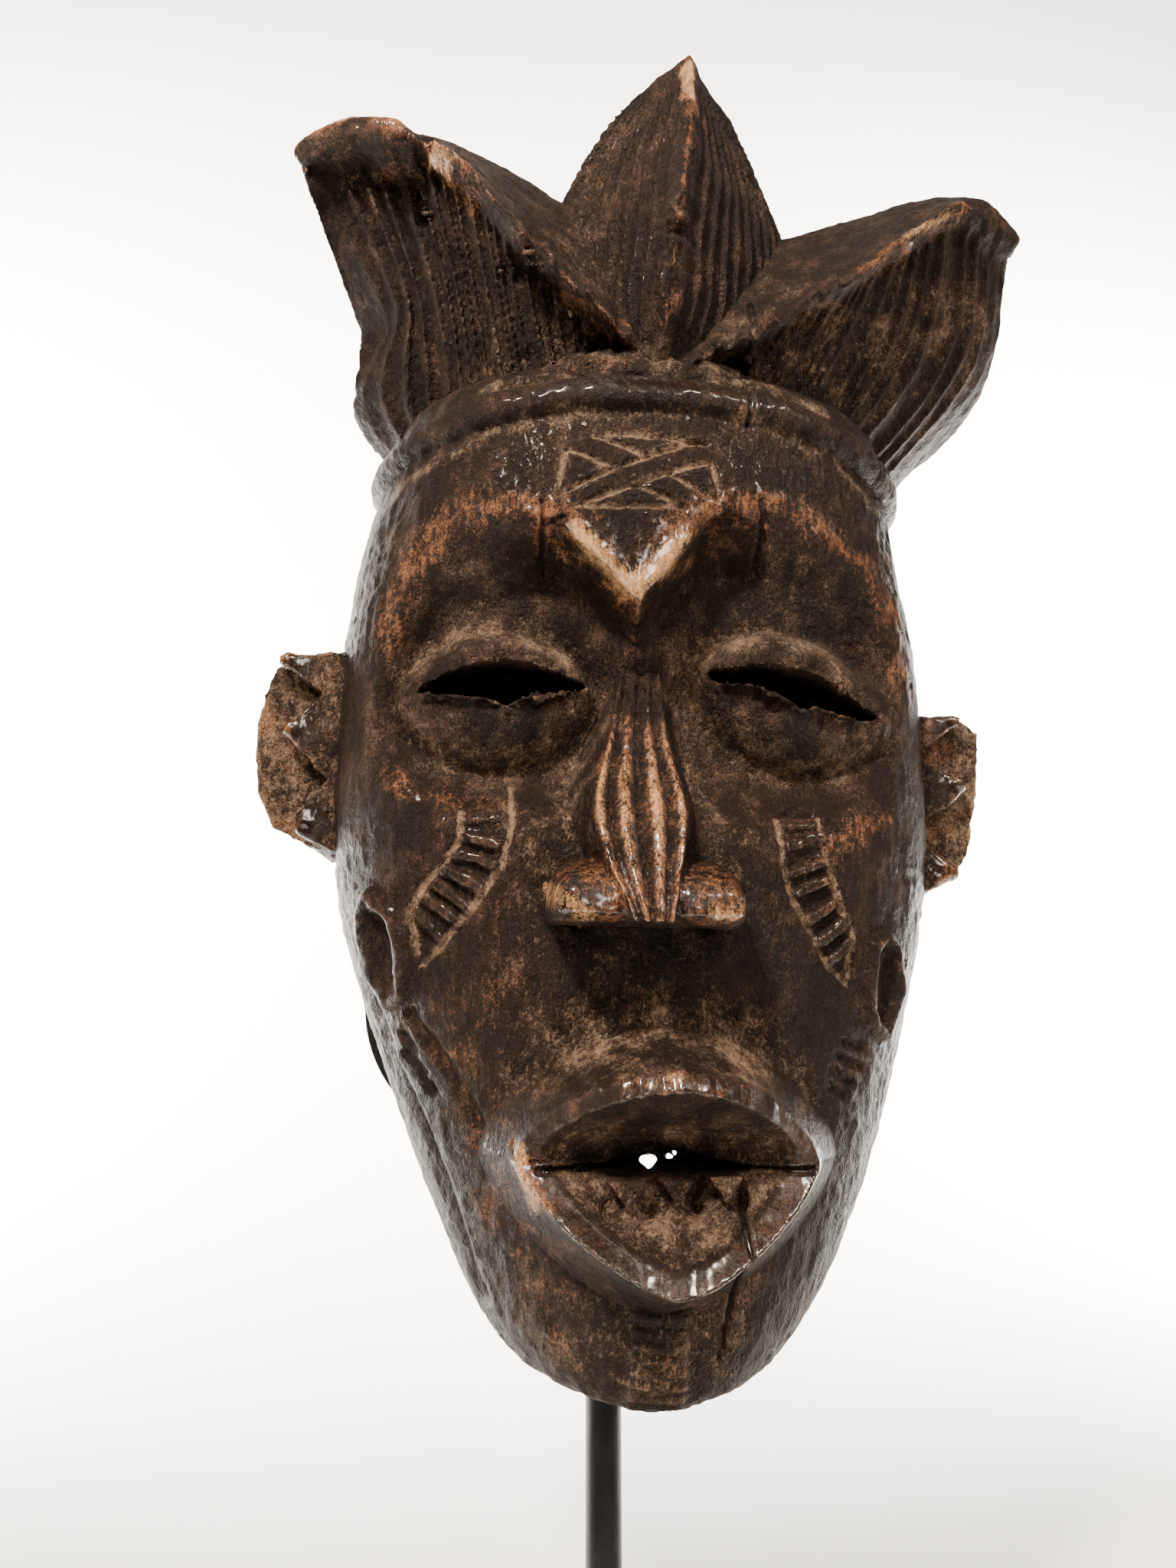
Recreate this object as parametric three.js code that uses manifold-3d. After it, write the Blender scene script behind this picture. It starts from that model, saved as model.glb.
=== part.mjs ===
import * as THREE from "three";
import { mergeVertices } from "three/addons/utils/BufferGeometryUtils.js";
import Module from "manifold-3d";

// Carved wooden face mask with a three-pointed crest, on a black display rod with a foot.
// The mask is worked out in its own frame: x to the right as seen from the front, depth forward
// from the plane of its back, height up from the chin. Sizes are in millimetres.

// Stand
const FOOT_WIDTH = 150;
const FOOT_DEPTH = 130;
const FOOT_THICK = 10;
const FOOT_CORNER = 8;
const FOOT_CENTRE_DEPTH = 58;
const CHIN_ABOVE_FLOOR = 104;
const ROD_RADIUS = 4.4;
const ROD_DEPTH = 22;
const ROD_TOP = 150;
const ROD_SIDES = 16;
const COLLAR_RADIUS = 9;
const COLLAR_HEIGHT = 8;
const GAP = 0.3;
const BOARD_LEFT = -64;
const BOARD_RIGHT = 61;
const BOARD_BOTTOM = 35;
const BOARD_TOP = 190;
const BOARD_CORNER = 36;
const BOARD_THICK = 4;
const CLAMP_WIDTH = 16;
const CLAMP_HEIGHT = 24;
const CLAMP_LEVEL = 96;
const LEAN_DEGREES = 1.5;
const MASK_SHIFT = 1.5;

// Face shell: half width, front depth and rim depth at each height
const HALF_WIDTH = [
  [-6, 15.5],
  [-3, 26],
  [2, 32.4],
  [10, 38.4],
  [24, 45.6],
  [40, 52.2],
  [56, 57.7],
  [72, 62.7],
  [92, 67.8],
  [120, 70.3],
  [150, 69.5],
  [175, 67],
  [200, 62.8],
  [212, 60],
  [219, 52],
  [224, 40],
];
const SIDE_SHIFT = [
  [-6, 1.8],
  [20, 3.1],
  [45, 2.2],
  [70, 0.5],
  [100, -1],
  [150, -1.7],
  [175, -2],
  [200, -0.5],
  [224, 2],
];
const FRONT = [
  [-6, 85],
  [-2, 90],
  [10, 93],
  [42, 93.5],
  [66, 92.5],
  [90, 91],
  [130, 90.5],
  [160, 92],
  [182, 92.5],
  [200, 90.5],
  [212, 87],
  [219, 80],
  [224, 68],
];
const RIM = [
  [-6, 46],
  [8, 34],
  [20, 27],
  [40, 13],
  [60, 3],
  [75, 0.5],
  [200, 0.5],
  [212, 5],
  [224, 24],
];
const WIDEST_DEPTH = 47;
const REAR_NARROWING = 0.05;
const SECTION_POWER = [
  [-6, 2.2],
  [20, 2.3],
  [60, 2.6],
  [100, 2.9],
  [150, 2.7],
  [188, 2.15],
  [224, 2],
];
const WALL = 8;
const CAVITY_SETBACK = [
  [6, 12],
  [20, 15],
  [43, 16],
  [70, 13],
  [105, 14],
  [125, 21],
  [155, 20],
  [175, 12],
  [206, 12],
];
const CAVITY_BOTTOM = 6;
const CAVITY_TOP = 206;

// Brow edge across the face, with the pointed wedge between the brows
const BROW_EDGE = [
  [-64, 142],
  [-59, 152],
  [-55, 162],
  [-49, 171],
  [-40, 176],
  [-23, 175],
  [-5.5, 157.5],
  [9.5, 178],
  [22, 180.5],
  [37, 177],
  [48, 172],
  [55, 163],
  [60, 150],
  [64, 141],
];
const BROW_LEVEL = 176;
const FACE_AXIS = -4;
const ORBIT_DEPTH = 12;
const ORBIT_OUTER_DEPTH = 9;
const ORBIT_CORNER_DEPTH = 4;
const WEDGE_LIP = 1.4;
const CREASE_PROUD = 3;
const CHEEK_LINE = 117;

// Eyes: centre, half sizes, tilt, and the slit inside
const EYES = [
  { x: -35, z: 137, wide: 22, high: 15.5, tilt: 5, slitWide: 18.6, up: 6.2, down: 3.2 },
  { x: 31.5, z: 139.5, wide: 22.5, high: 16, tilt: -13, slitWide: 19.2, up: 4.2, down: 3.6 },
];
const EYE_BULGE = 8;
const LID_LIP = 1.6;

// Nose
const NOSE_AXIS = [
  [86, -4.2],
  [100, -5.4],
  [112, -5.6],
  [146, -3.4],
];
const NOSE_RIDGE = [
  [86, 112],
  [90, 112],
  [97, 108.5],
  [108, 102],
  [122, 92.5],
  [135, 84.5],
  [146, 79.5],
];
const NOSE_HALF = [
  [86, 5.6],
  [92, 6],
  [104, 8.6],
  [112, 9],
  [128, 6.4],
  [146, 4.2],
];
const NOSE_SIDE_SLOPE = 2.4;
const NOSE_BOTTOM = 88;
const WING_ROOT = 84;
const FLUTE_DEPTH = 1.3;
const WINGS = [
  { x: -16.6, z: 94.4, wide: 6.6, high: 6.2, depth: 105 },
  { x: 7.6, z: 94.8, wide: 6.4, high: 6, depth: 105 },
];

// Mouth: a flared cup with a pointed outline
const MOUTH = { x: 1.5, z: 43, wide: 29.7, up: 18.2, down: 22.2, powerUp: 1.7, powerDown: 1.35 };
const LIP_DEPTH = 112;
const LIP_CORNER_DROP = 14;
const SLIT_DEPTH = 89;
const CUP_RECESS = 5.3;
const UPPER_LIP_FALL = 11;
const SLIT_OUTLINE = [[-20, 41.5], [-12, 42.8], [-4, 44.2], [4, 44.4], [12, 43.6], [22, 42.6], [29, 42],
  [20, 41], [10, 40], [0, 39.6], [-10, 40.2]];
const HOLE_OUTLINE = [[-6, 42.6], [-2, 45.4], [4, 44.8], [3, 42]];

// Headband and chin
const BAND_LEVEL = 207;
const BAND_SIDE_DROP = 11;
const BAND_HALF = 4.3;
const BAND_PROUD = 3.4;
const CHIN_LADDER = { x: 1, half: 6, top: 17, bottom: -5, proud: 1.8, rungs: 8 };

// Resolution of the face surface
const FACE_COLUMNS = 25;
const FACE_ROWS = 29;
const WALL_STEPS = 3;

const WOOD = new THREE.MeshStandardMaterial({ color: 0x38291f, roughness: 0.55, metalness: 0 });
const BLACK_STEEL = new THREE.MeshStandardMaterial({ color: 0x121212, roughness: 0.5, metalness: 0.4 });
const BLACK_BOARD = new THREE.MeshStandardMaterial({ color: 0x101010, roughness: 0.8, metalness: 0 });
const BLACK_FOOT = new THREE.MeshStandardMaterial({ color: 0x141414, roughness: 0.55, metalness: 0.4 });

const wasm = await Module();
wasm.setup();

const clamp01 = (t) => Math.min(1, Math.max(0, t));
const radians = (degrees) => (degrees * Math.PI) / 180;

function smooth(from, to, value) {
  const t = clamp01((value - from) / (to - from));
  return t * t * (3 - 2 * t);
}

function bump(distance, radius) {
  const q = distance / radius;
  return Math.abs(q) >= 1 ? 0 : (1 - q * q) ** 2;
}

// Value of a smooth course through [place, value] stations, flat beyond its ends.
function course(stations, place) {
  const last = stations.length - 1;
  if (place <= stations[0][0]) return stations[0][1];
  if (place >= stations[last][0]) return stations[last][1];
  let i = 0;
  while (place > stations[i + 1][0]) i += 1;
  const [x0, y0] = stations[i];
  const [x1, y1] = stations[i + 1];
  const rise = (y1 - y0) / (x1 - x0);
  const slopeAt = (k) => {
    if (k <= 0 || k >= last) return rise;
    const before = (stations[k][1] - stations[k - 1][1]) / (stations[k][0] - stations[k - 1][0]);
    const after = (stations[k + 1][1] - stations[k][1]) / (stations[k + 1][0] - stations[k][0]);
    return before * after <= 0 ? 0 : (2 * before * after) / (before + after);
  };
  const span = x1 - x0;
  const t = (place - x0) / span;
  const m0 = slopeAt(i) * span;
  const m1 = slopeAt(i + 1) * span;
  return (
    y0 * (1 + 2 * t) * (1 - t) ** 2 + m0 * t * (1 - t) ** 2 + y1 * t * t * (3 - 2 * t) + m1 * t * t * (t - 1)
  );
}

// Values from low to high, closer together where the density is higher.
function spread(low, high, count, density) {
  const fine = 400;
  const total = [0];
  for (let i = 0; i < fine; i += 1) {
    total.push(total[i] + density(low + ((high - low) * (i + 0.5)) / fine));
  }
  const values = [];
  let k = 0;
  for (let i = 0; i <= count; i += 1) {
    const wanted = (total[fine] * i) / count;
    while (k < fine - 1 && total[k + 1] < wanted) k += 1;
    const part = (wanted - total[k]) / (total[k + 1] - total[k]);
    values.push(low + ((high - low) * (k + part)) / fine);
  }
  return values;
}

// Height of the brow edge at x, in straight stretches: the V keeps its straight sides.
function browEdge(x) {
  let i = 0;
  while (i < BROW_EDGE.length - 2 && x > BROW_EDGE[i + 1][0]) i += 1;
  const [x0, z0] = BROW_EDGE[i];
  const [x1, z1] = BROW_EDGE[i + 1];
  return z0 + (z1 - z0) * clamp01((x - x0) / (x1 - x0));
}

function eyeFrame(eye, x, z) {
  const c = Math.cos(radians(eye.tilt));
  const s = Math.sin(radians(eye.tilt));
  const dx = x - eye.x;
  const dz = z - eye.z;
  return [dx * c + dz * s, dz * c - dx * s];
}

function slitHalfHeight(eye, along, above) {
  const reach = clamp01(1 - (along / eye.slitWide) ** 2);
  return (above ? eye.up : eye.down) * reach ** 0.9;
}

// Depth of the carved front at (x, z), given the plain shell's depth there: the hollows round the eyes.
function carve(x, z, plain) {
  const side = Math.abs(x - FACE_AXIS);
  const nearCentre = 1 - smooth(16, 34, side);
  const below = browEdge(x) - z;
  const orbitDepth = ORBIT_OUTER_DEPTH + (ORBIT_DEPTH - ORBIT_OUTER_DEPTH) * (1 - smooth(10, 46, side));
  const fall = 20 - 12 * nearCentre;
  const cheek = CHEEK_LINE + 12 * smooth(34, 58, side);
  const floor = smooth(cheek - 8, cheek + 4, z);
  const outer = 1 - smooth(48, 60, side);
  const hollow = smooth(-1, fall, below) * floor * outer;
  let depth = plain - orbitDepth * hollow;
  depth += WEDGE_LIP * bump(below + 3, 4) * nearCentre;
  depth -= ORBIT_CORNER_DEPTH * bump(side - 14, 12) * bump(z - 139, 20);
  depth += CREASE_PROUD * bump(x + 4.6, 5) * smooth(143, 148, z) * (1 - smooth(155, 158, z));
  const cup = cupPlace(x, z);
  return depth - CUP_RECESS * (1 - smooth(0.45, 0.85, cup));
}

// Depth of the plain shell, before any carving.
function shellDepth(x, z) {
  const front = course(FRONT, z);
  const widest = Math.min(WIDEST_DEPTH, front - 8);
  const s = clamp01(Math.abs(x - course(SIDE_SHIFT, z)) / course(HALF_WIDTH, z));
  const power = course(SECTION_POWER, z);
  return widest + (front - widest) * (1 - s ** power) ** (1 / power);
}

// Place of (x, z) in the mouth's outline: 0 at its middle, 1 on the edge of the lips.
function cupPlace(x, z) {
  const upper = z > MOUTH.z;
  const power = upper ? MOUTH.powerUp : MOUTH.powerDown;
  const dx = Math.abs(x - MOUTH.x) / MOUTH.wide;
  const dz = Math.abs(z - MOUTH.z) / (upper ? MOUTH.up : MOUTH.down);
  return (dx ** power + dz ** power) ** (1 / power);
}

// Lips: rings from the bottom of the cup out to the flared edge, then down to the face.
function mouthSolid() {
  const around = 24;
  const edgeDepth = (across) => LIP_DEPTH - LIP_CORNER_DROP * across ** 1.6;
  const ring = (m, outward, depthAt) => {
    const loop = [];
    for (let k = 0; k < around; k += 1) {
      const angle = (2 * Math.PI * (k + 0.5)) / around;
      const c = Math.cos(angle);
      const d = Math.sin(angle);
      const power = d > 0 ? MOUTH.powerUp : MOUTH.powerDown;
      const across = Math.abs(c) ** (2 / power);
      const along = Math.abs(d) ** (2 / power);
      const reach = d > 0 ? MOUTH.up : MOUTH.down;
      const x = MOUTH.x + Math.sign(c) * (MOUTH.wide * m * across + outward * Math.abs(c));
      const z = MOUTH.z + Math.sign(d) * (reach * m * along + outward * Math.abs(d));
      loop.push([x, depthAt(x, z, across, d > 0), z]);
    }
    return loop;
  };
  const cup = (m) =>
    ring(m, 0, (x, z, across, up) => SLIT_DEPTH + (edgeDepth(across) - SLIT_DEPTH) * m ** (up ? 1.5 : 1.15));
  const flank = (outward, part) =>
    ring(1, outward, (x, z, across, up) => {
      const base = carve(x, z, shellDepth(x, z)) - 1.5;
      const eased = up ? part : part ** 0.6;
      return edgeDepth(across) + (base - edgeDepth(across)) * eased;
    });
  const sunk = ring(1, 5, (x, z) => carve(x, z, shellDepth(x, z)) - 6);
  const upperReach = (t) => UPPER_LIP_FALL * t;
  return loft([
    sunk,
    flank(upperReach(0.75), 1),
    flank(upperReach(0.4), 0.55),
    flank(1.8, 0.12),
    cup(1),
    cup(0.86),
    cup(0.66),
    cup(0.4),
    cup(0.15),
  ]);
}

// Eye: a dome whose rings close in on the slit's own outline.
function eyeOutline(eye, steps) {
  const c = Math.cos(radians(eye.tilt));
  const s = Math.sin(radians(eye.tilt));
  const outline = [];
  for (let k = 0; k < 2 * steps; k += 1) {
    const above = k < steps;
    const t = above ? Math.cos((Math.PI * k) / steps) : -Math.cos((Math.PI * (k - steps)) / steps);
    const along = eye.slitWide * t;
    const across = (above ? 1 : -1) * Math.max(0.3, slitHalfHeight(eye, along, above));
    outline.push([eye.x + along * c - across * s, eye.z + along * s + across * c]);
  }
  return outline;
}

function eyeDome(eye) {
  const steps = 8;
  const inner = eyeOutline(eye, steps);
  const c = Math.cos(radians(eye.tilt));
  const s = Math.sin(radians(eye.tilt));
  const ring = (t, lift) =>
    inner.map(([x1, z1], k) => {
      const angle = (Math.PI * k) / steps;
      const along = eye.wide * Math.cos(angle);
      const across = eye.high * Math.sin(angle);
      const x0 = eye.x + along * c - across * s;
      const z0 = eye.z + along * s + across * c;
      const x = x0 + (x1 - x0) * t;
      const z = z0 + (z1 - z0) * t;
      return [x, carve(x, z, shellDepth(x, z)) + lift, z];
    });
  const dome = (t) => EYE_BULGE * (1 - (1 - t) ** 2) ** 0.8;
  const floor = carve(eye.x, eye.z, shellDepth(eye.x, eye.z)) - 8;
  return loft([
    ring(0, -4).map(([x, , z]) => [x, floor, z]),
    ring(0, -0.8),
    ring(0.25, dome(0.25)),
    ring(0.5, dome(0.5)),
    ring(0.82, dome(0.82) - 0.3),
    ring(0.9, dome(0.9) + LID_LIP),
    ring(0.99, dome(1) + LID_LIP * 0.7),
  ]);
}

// Nose: level slices with four ridges and five flutes, cut off flat below.
function noseSolid() {
  const flutes = [-1, -0.87, -0.61, -0.35, 0, 0.35, 0.61, 0.87, 1];
  const lifts = [-0.6, 0, -1, 0, -1, 0, -1, 0, -0.6];
  const loops = [];
  const rows = [NOSE_BOTTOM, 89.5, 92, 96, 101, 106, 112, 118, 125, 132, 139, 144, 148];
  rows.forEach((row, i) => {
    const axis = course(NOSE_AXIS, row);
    const half = course(NOSE_HALF, row);
    const top = course(NOSE_RIDGE, row);
    const base = carve(axis, row, shellDepth(axis, row)) - 5;
    const loop = [];
    const foot = (side) => {
      const drop = Math.max(0, top - base);
      const out = half + drop / NOSE_SIDE_SLOPE;
      return [
        [axis + side * out, base, row],
        [axis + side * (half + 0.35 * (out - half)), top - 0.4 * drop, row],
      ];
    };
    const [leftFoot, leftFlank] = foot(-1);
    const [rightFoot, rightFlank] = foot(1);
    loop.push(leftFoot, leftFlank);
    flutes.forEach((q, k) => loop.push([axis + q * half, top + FLUTE_DEPTH * lifts[k], row]));
    loop.push(rightFlank, rightFoot);
    const tilted = i === 0 ? loop.map(([x, f, z]) => [x, f, z - (LIP_DEPTH - f) * 0.14]) : loop;
    loops.push(tilted);
  });
  return loft(loops);
}

function wingSolid(wing) {
  const loops = [];
  const bottom = NOSE_BOTTOM + 0.4;
  const slices = 6;
  for (let i = 0; i <= slices; i += 1) {
    const z = bottom + ((wing.z + wing.high - 0.1 - bottom) * i) / slices;
    const size = Math.sqrt(Math.max(0.02, 1 - ((z - wing.z) / wing.high) ** 2));
    const loop = [];
    const steps = 8;
    for (let k = 0; k <= steps; k += 1) {
      const a = Math.PI * (1 - k / steps);
      const x = wing.x + wing.wide * size * Math.cos(a);
      const depth = WING_ROOT + (wing.depth - WING_ROOT) * size * Math.sin(a) ** 0.7;
      loop.push([x, depth, z]);
    }
    loops.push(loop);
  }
  return loft(loops);
}

// Relief that stands along the skin's own normal: headband and chin ladder.
function skin(x, z) {
  const level = BAND_LEVEL - BAND_SIDE_DROP * clamp01(Math.abs(x) / 68) ** 2.2;
  const q = (z - level) / BAND_HALF;
  let proud = Math.abs(q) < 1 ? BAND_PROUD * Math.sqrt(1 - q * q) : 0;
  const along = (CHIN_LADDER.top - z) / (CHIN_LADDER.top - CHIN_LADDER.bottom);
  if (along > 0 && along < 1) {
    const strip = 1 - smooth(CHIN_LADDER.half - 1, CHIN_LADDER.half, Math.abs(x - CHIN_LADDER.x));
    proud += CHIN_LADDER.proud * strip;
  }
  return proud;
}

// Rows near the brow bend with its edge, so that the edge stays crisp.
function bentRow(x, row) {
  const dip = Math.min(4, Math.max(-20, browEdge(x) - BROW_LEVEL));
  return row + dip * bump(row - BROW_LEVEL, 44);
}

// One section of the shell as a closed loop, from the left rim round the front to the right rim.
function section(z, columns, inset, setback, carved) {
  const w = course(HALF_WIDTH, z) - inset;
  const shift = course(SIDE_SHIFT, z);
  const front = course(FRONT, z) - setback;
  const rim = inset > 0 ? -20 : course(RIM, z);
  const widest = Math.min(WIDEST_DEPTH, front - 8);
  const reach = front - widest;
  const power = course(SECTION_POWER, z);
  const loop = [];
  const wall = (side, k) => {
    const t = k / WALL_STEPS;
    const depth = rim + (widest - rim) * t;
    const x = side * w * (1 - REAR_NARROWING * (1 - t));
    loop.push([x + shift + (carved ? side * skin(side * w, z) : 0), depth, z]);
  };
  for (let k = 0; k < WALL_STEPS; k += 1) wall(-1, k);
  for (const column of columns) {
    const s = Math.sin(column);
    const bend = (1 - Math.abs(s) ** power) ** (1 / power);
    const x = w * s + shift;
    const depth = widest + reach * bend;
    if (!carved) {
      loop.push([x, depth, z]);
      continue;
    }
    let nx = (Math.sign(s) * Math.abs(s) ** (power - 1)) / w;
    let nf = bend ** (power - 1) / reach;
    const length = Math.hypot(nx, nf);
    nx /= length;
    nf /= length;
    const height = bentRow(x, z);
    const proud = skin(x, height);
    loop.push([x + nx * proud, carve(x, height, shellDepth(x, height)) + nf * proud, height]);
  }
  for (let k = WALL_STEPS - 1; k >= 0; k -= 1) wall(1, k);
  return loop;
}

// Closed solid through equal loops of [x, depth, height], with its end loops capped.
function loft(loops) {
  const around = loops[0].length;
  const points = [];
  for (const loop of loops) {
    for (const [x, depth, z] of loop) points.push(x, -depth, z);
  }
  const faces = [];
  for (let i = 0; i < loops.length - 1; i += 1) {
    for (let j = 0; j < around; j += 1) {
      const a = i * around + j;
      const b = i * around + ((j + 1) % around);
      faces.push(a, b, a + around, b, b + around, a + around);
    }
  }
  for (const end of [0, loops.length - 1]) {
    const middle = points.length / 3;
    const sum = [0, 0, 0];
    for (const p of loops[end]) p.forEach((v, k) => (sum[k] += v / around));
    points.push(sum[0], -sum[1], sum[2]);
    for (let j = 0; j < around; j += 1) {
      const a = end * around + j;
      const b = end * around + ((j + 1) % around);
      if (end === 0) faces.push(middle, b, a);
      else faces.push(middle, a, b);
    }
  }
  return solid(points, faces);
}

function solid(points, faces) {
  const geometry = new THREE.BufferGeometry();
  geometry.setAttribute("position", new THREE.Float32BufferAttribute(points, 3));
  geometry.setIndex(faces);
  const merged = mergeVertices(geometry, 1e-4);
  const build = (triVerts) =>
    new wasm.Manifold(
      new wasm.Mesh({ numProp: 3, vertProperties: new Float32Array(merged.attributes.position.array), triVerts }),
    );
  const triangles = new Uint32Array(merged.index.array);
  const made = build(triangles);
  if (made.volume() > 0) return made;
  for (let i = 0; i < triangles.length; i += 3) {
    const swapped = triangles[i];
    triangles[i] = triangles[i + 1];
    triangles[i + 1] = swapped;
  }
  return build(triangles);
}

function geometryOf(manifold) {
  const mesh = manifold.getMesh();
  const geometry = new THREE.BufferGeometry();
  geometry.setAttribute("position", new THREE.BufferAttribute(mesh.vertProperties, 3));
  geometry.setIndex(new THREE.BufferAttribute(mesh.triVerts, 1));
  geometry.computeVertexNormals();
  return geometry;
}

// Straight block through the face with a given front outline, from one depth to another.
function prism(outline, from, to, growth) {
  const cx = outline.reduce((sum, p) => sum + p[0], 0) / outline.length;
  const cz = outline.reduce((sum, p) => sum + p[1], 0) / outline.length;
  const grown = outline.map(([x, z]) => [cx + (x - cx) * growth, cz + (z - cz) * growth]);
  return loft([grown.map(([x, z]) => [x, from, z]), outline.map(([x, z]) => [x, to, z])]);
}

function eyeSlit(eye) {
  return prism(eyeOutline(eye, 8), 40, 125, 1.2);
}

// Chip cut: a boat-shaped gouge from one surface point to another.
function gouge([x0, z0], [x1, z1], width, depth) {
  const length = Math.hypot(x1 - x0, z1 - z0);
  const across = [(-(z1 - z0) / length) * width * 0.5, ((x1 - x0) / length) * width * 0.5];
  const f0 = surfaceDepth(x0, z0);
  const f1 = surfaceDepth(x1, z1);
  const loops = [];
  const stations = [0, 0.5, 1];
  for (const t of stations) {
    const full = t === 0 || t === 1 ? 0.15 : 1;
    const x = x0 + (x1 - x0) * t;
    const z = z0 + (z1 - z0) * t;
    const f = f0 + (f1 - f0) * t;
    loops.push([
      [x - across[0] * full * 2, f + depth, z - across[1] * full * 2],
      [x, f - depth * full, z],
      [x + across[0] * full * 2, f + depth, z + across[1] * full * 2],
    ]);
  }
  return loft(loops);
}

// Depth of the finished front surface at (x, z).
function surfaceDepth(x, z) {
  return carve(x, z, shellDepth(x, z)) + skin(x, z);
}

// Point on a rail of [place, x, depth, height] stations.
function onRail(rail, place) {
  return [1, 2, 3].map((k) =>
    course(
      rail.map((station) => [station[0], station[k]]),
      place,
    ),
  );
}

// Side tuft: fanned slices from the middle of the head round to the outer blade edge.
function sideTuft(tuft) {
  const loops = [];
  const slices = tuft.grooves * 2;
  for (let i = 0; i <= slices; i += 1) {
    const t = i / slices;
    const ridge = onRail(tuft.ridge, t);
    const root = onRail(tuft.root, t);
    const top = onRail(tuft.top, t);
    const heel = onRail(tuft.heel, t);
    const inward = i % 2 === 1 ? tuft.grooveDepth * smooth(0, 0.12, t) : 0;
    const belly = tuft.belly * smooth(0.45, 1, t);
    const lobe = tuft.lobe * smooth(0.8, 1, t);
    const loop = [];
    const faceSteps = 3;
    for (let k = 0; k <= faceSteps; k += 1) {
      const s = k / faceSteps;
      const arch = 4 * s * (1 - s);
      const hollow = tuft.hollow * arch * (1 - smooth(0.5, 1, t));
      const cut = k === 0 ? 0 : inward;
      loop.push([
        ridge[0] + (root[0] - ridge[0]) * s + belly * arch + lobe * bump(s - 0.75, 0.3),
        ridge[1] + (root[1] - ridge[1]) * s - hollow - cut * 0.8,
        ridge[2] + (root[2] - ridge[2]) * s + cut * 0.3,
      ]);
    }
    loop.push([root[0] * 0.8, root[1] - 10, root[2] - 8]);
    loop.push([heel[0], heel[1], heel[2]]);
    loop.push([top[0] - tuft.backInset * t, top[1] - tuft.backSlope, top[2] - 6]);
    loop.push([top[0], top[1], top[2]]);
    loops.push(loop);
  }
  return loft(loops);
}

const LEFT_TUFT = {
  grooves: 16,
  grooveDepth: 1.3,
  hollow: 5,
  belly: 6,
  lobe: -13,
  backSlope: 10,
  backInset: -7,
  ridge: [
    [0, -2, 85, 215],
    [0.12, -12, 88, 223],
    [0.25, -22, 89, 233],
    [0.36, -32, 90, 241],
    [0.46, -40, 89, 251],
    [0.56, -47, 87, 261],
    [0.67, -56, 84, 268.5],
    [0.86, -73, 77, 273.5],
    [1, -87, 70, 268],
  ],
  root: [
    [0, -2, 83, 210],
    [0.25, -25, 80, 209.5],
    [0.45, -40, 71, 208],
    [0.6, -51, 59, 206],
    [0.75, -58, 47, 204],
    [0.9, -58.6, 38, 202],
    [1, -58.4, 33, 203],
  ],
  top: [
    [0, -4, 60, 262],
    [0.25, -22, 58, 273.5],
    [0.5, -42, 60, 282.8],
    [0.7, -58, 62, 286.3],
    [0.86, -75, 65, 285.6],
    [1, -88, 66, 277],
  ],
  heel: [
    [0, -2, 30, 212],
    [0.5, -36, 24, 212],
    [1, -55, 20, 206],
  ],
};

const RIGHT_TUFT = {
  grooves: 17,
  grooveDepth: 1.3,
  hollow: 4,
  belly: 13,
  lobe: -3,
  backSlope: 10,
  backInset: 5,
  ridge: [
    [0, 4, 85, 215],
    [0.16, 21, 88, 224],
    [0.28, 32, 88, 232.5],
    [0.4, 42, 88, 239],
    [0.62, 60, 84, 256],
    [0.82, 77, 78, 269],
    [1, 94.5, 67, 269],
  ],
  root: [
    [0, 4, 83, 210],
    [0.25, 24, 80, 211],
    [0.45, 40, 71, 209.5],
    [0.62, 56, 57, 206.5],
    [0.8, 62, 44, 203.5],
    [1, 64.6, 32, 203],
  ],
  top: [
    [0, 8, 60, 258],
    [0.28, 34, 58, 269],
    [0.5, 53, 60, 275.5],
    [0.8, 76, 64, 281.5],
    [0.92, 86, 67, 279.5],
    [1, 94.5, 64, 275],
  ],
  heel: [
    [0, 4, 30, 212],
    [0.5, 42, 24, 212],
    [1, 61, 20, 206],
  ],
};

// Middle tuft: level slices from the head up to the tip, with grooves running up both front faces.
const MIDDLE_TUFT = {
  grooves: 6,
  grooveDepth: 1.1,
  puff: 5,
  ridge: [
    [0, -2, 84, 208],
    [0.1, -1.5, 88, 220],
    [0.25, 0, 91, 234],
    [0.45, 2, 90, 253],
    [0.75, 6, 82, 283],
    [0.93, 7.2, 76, 300],
    [1, 7, 73, 308],
  ],
  left: [
    [0, -24, 62, 208],
    [0.45, -27, 58, 258],
    [0.68, -22.5, 58, 276],
    [0.8, -17.3, 60, 286.5],
    [0.9, -10.6, 62, 297],
    [0.97, -2, 66, 304],
    [1, 5, 71, 307],
  ],
  right: [
    [0, 28, 62, 208],
    [0.45, 38, 58, 252],
    [0.66, 34.5, 58, 269.5],
    [0.8, 28, 60, 284],
    [0.92, 20, 64, 297],
    [0.97, 13, 67, 302.5],
    [1, 9, 71, 307],
  ],
  back: [
    [0, 2, 28, 208],
    [0.6, 3, 38, 262],
    [0.9, 5, 54, 294],
    [1, 7, 69, 306],
  ],
};

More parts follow.
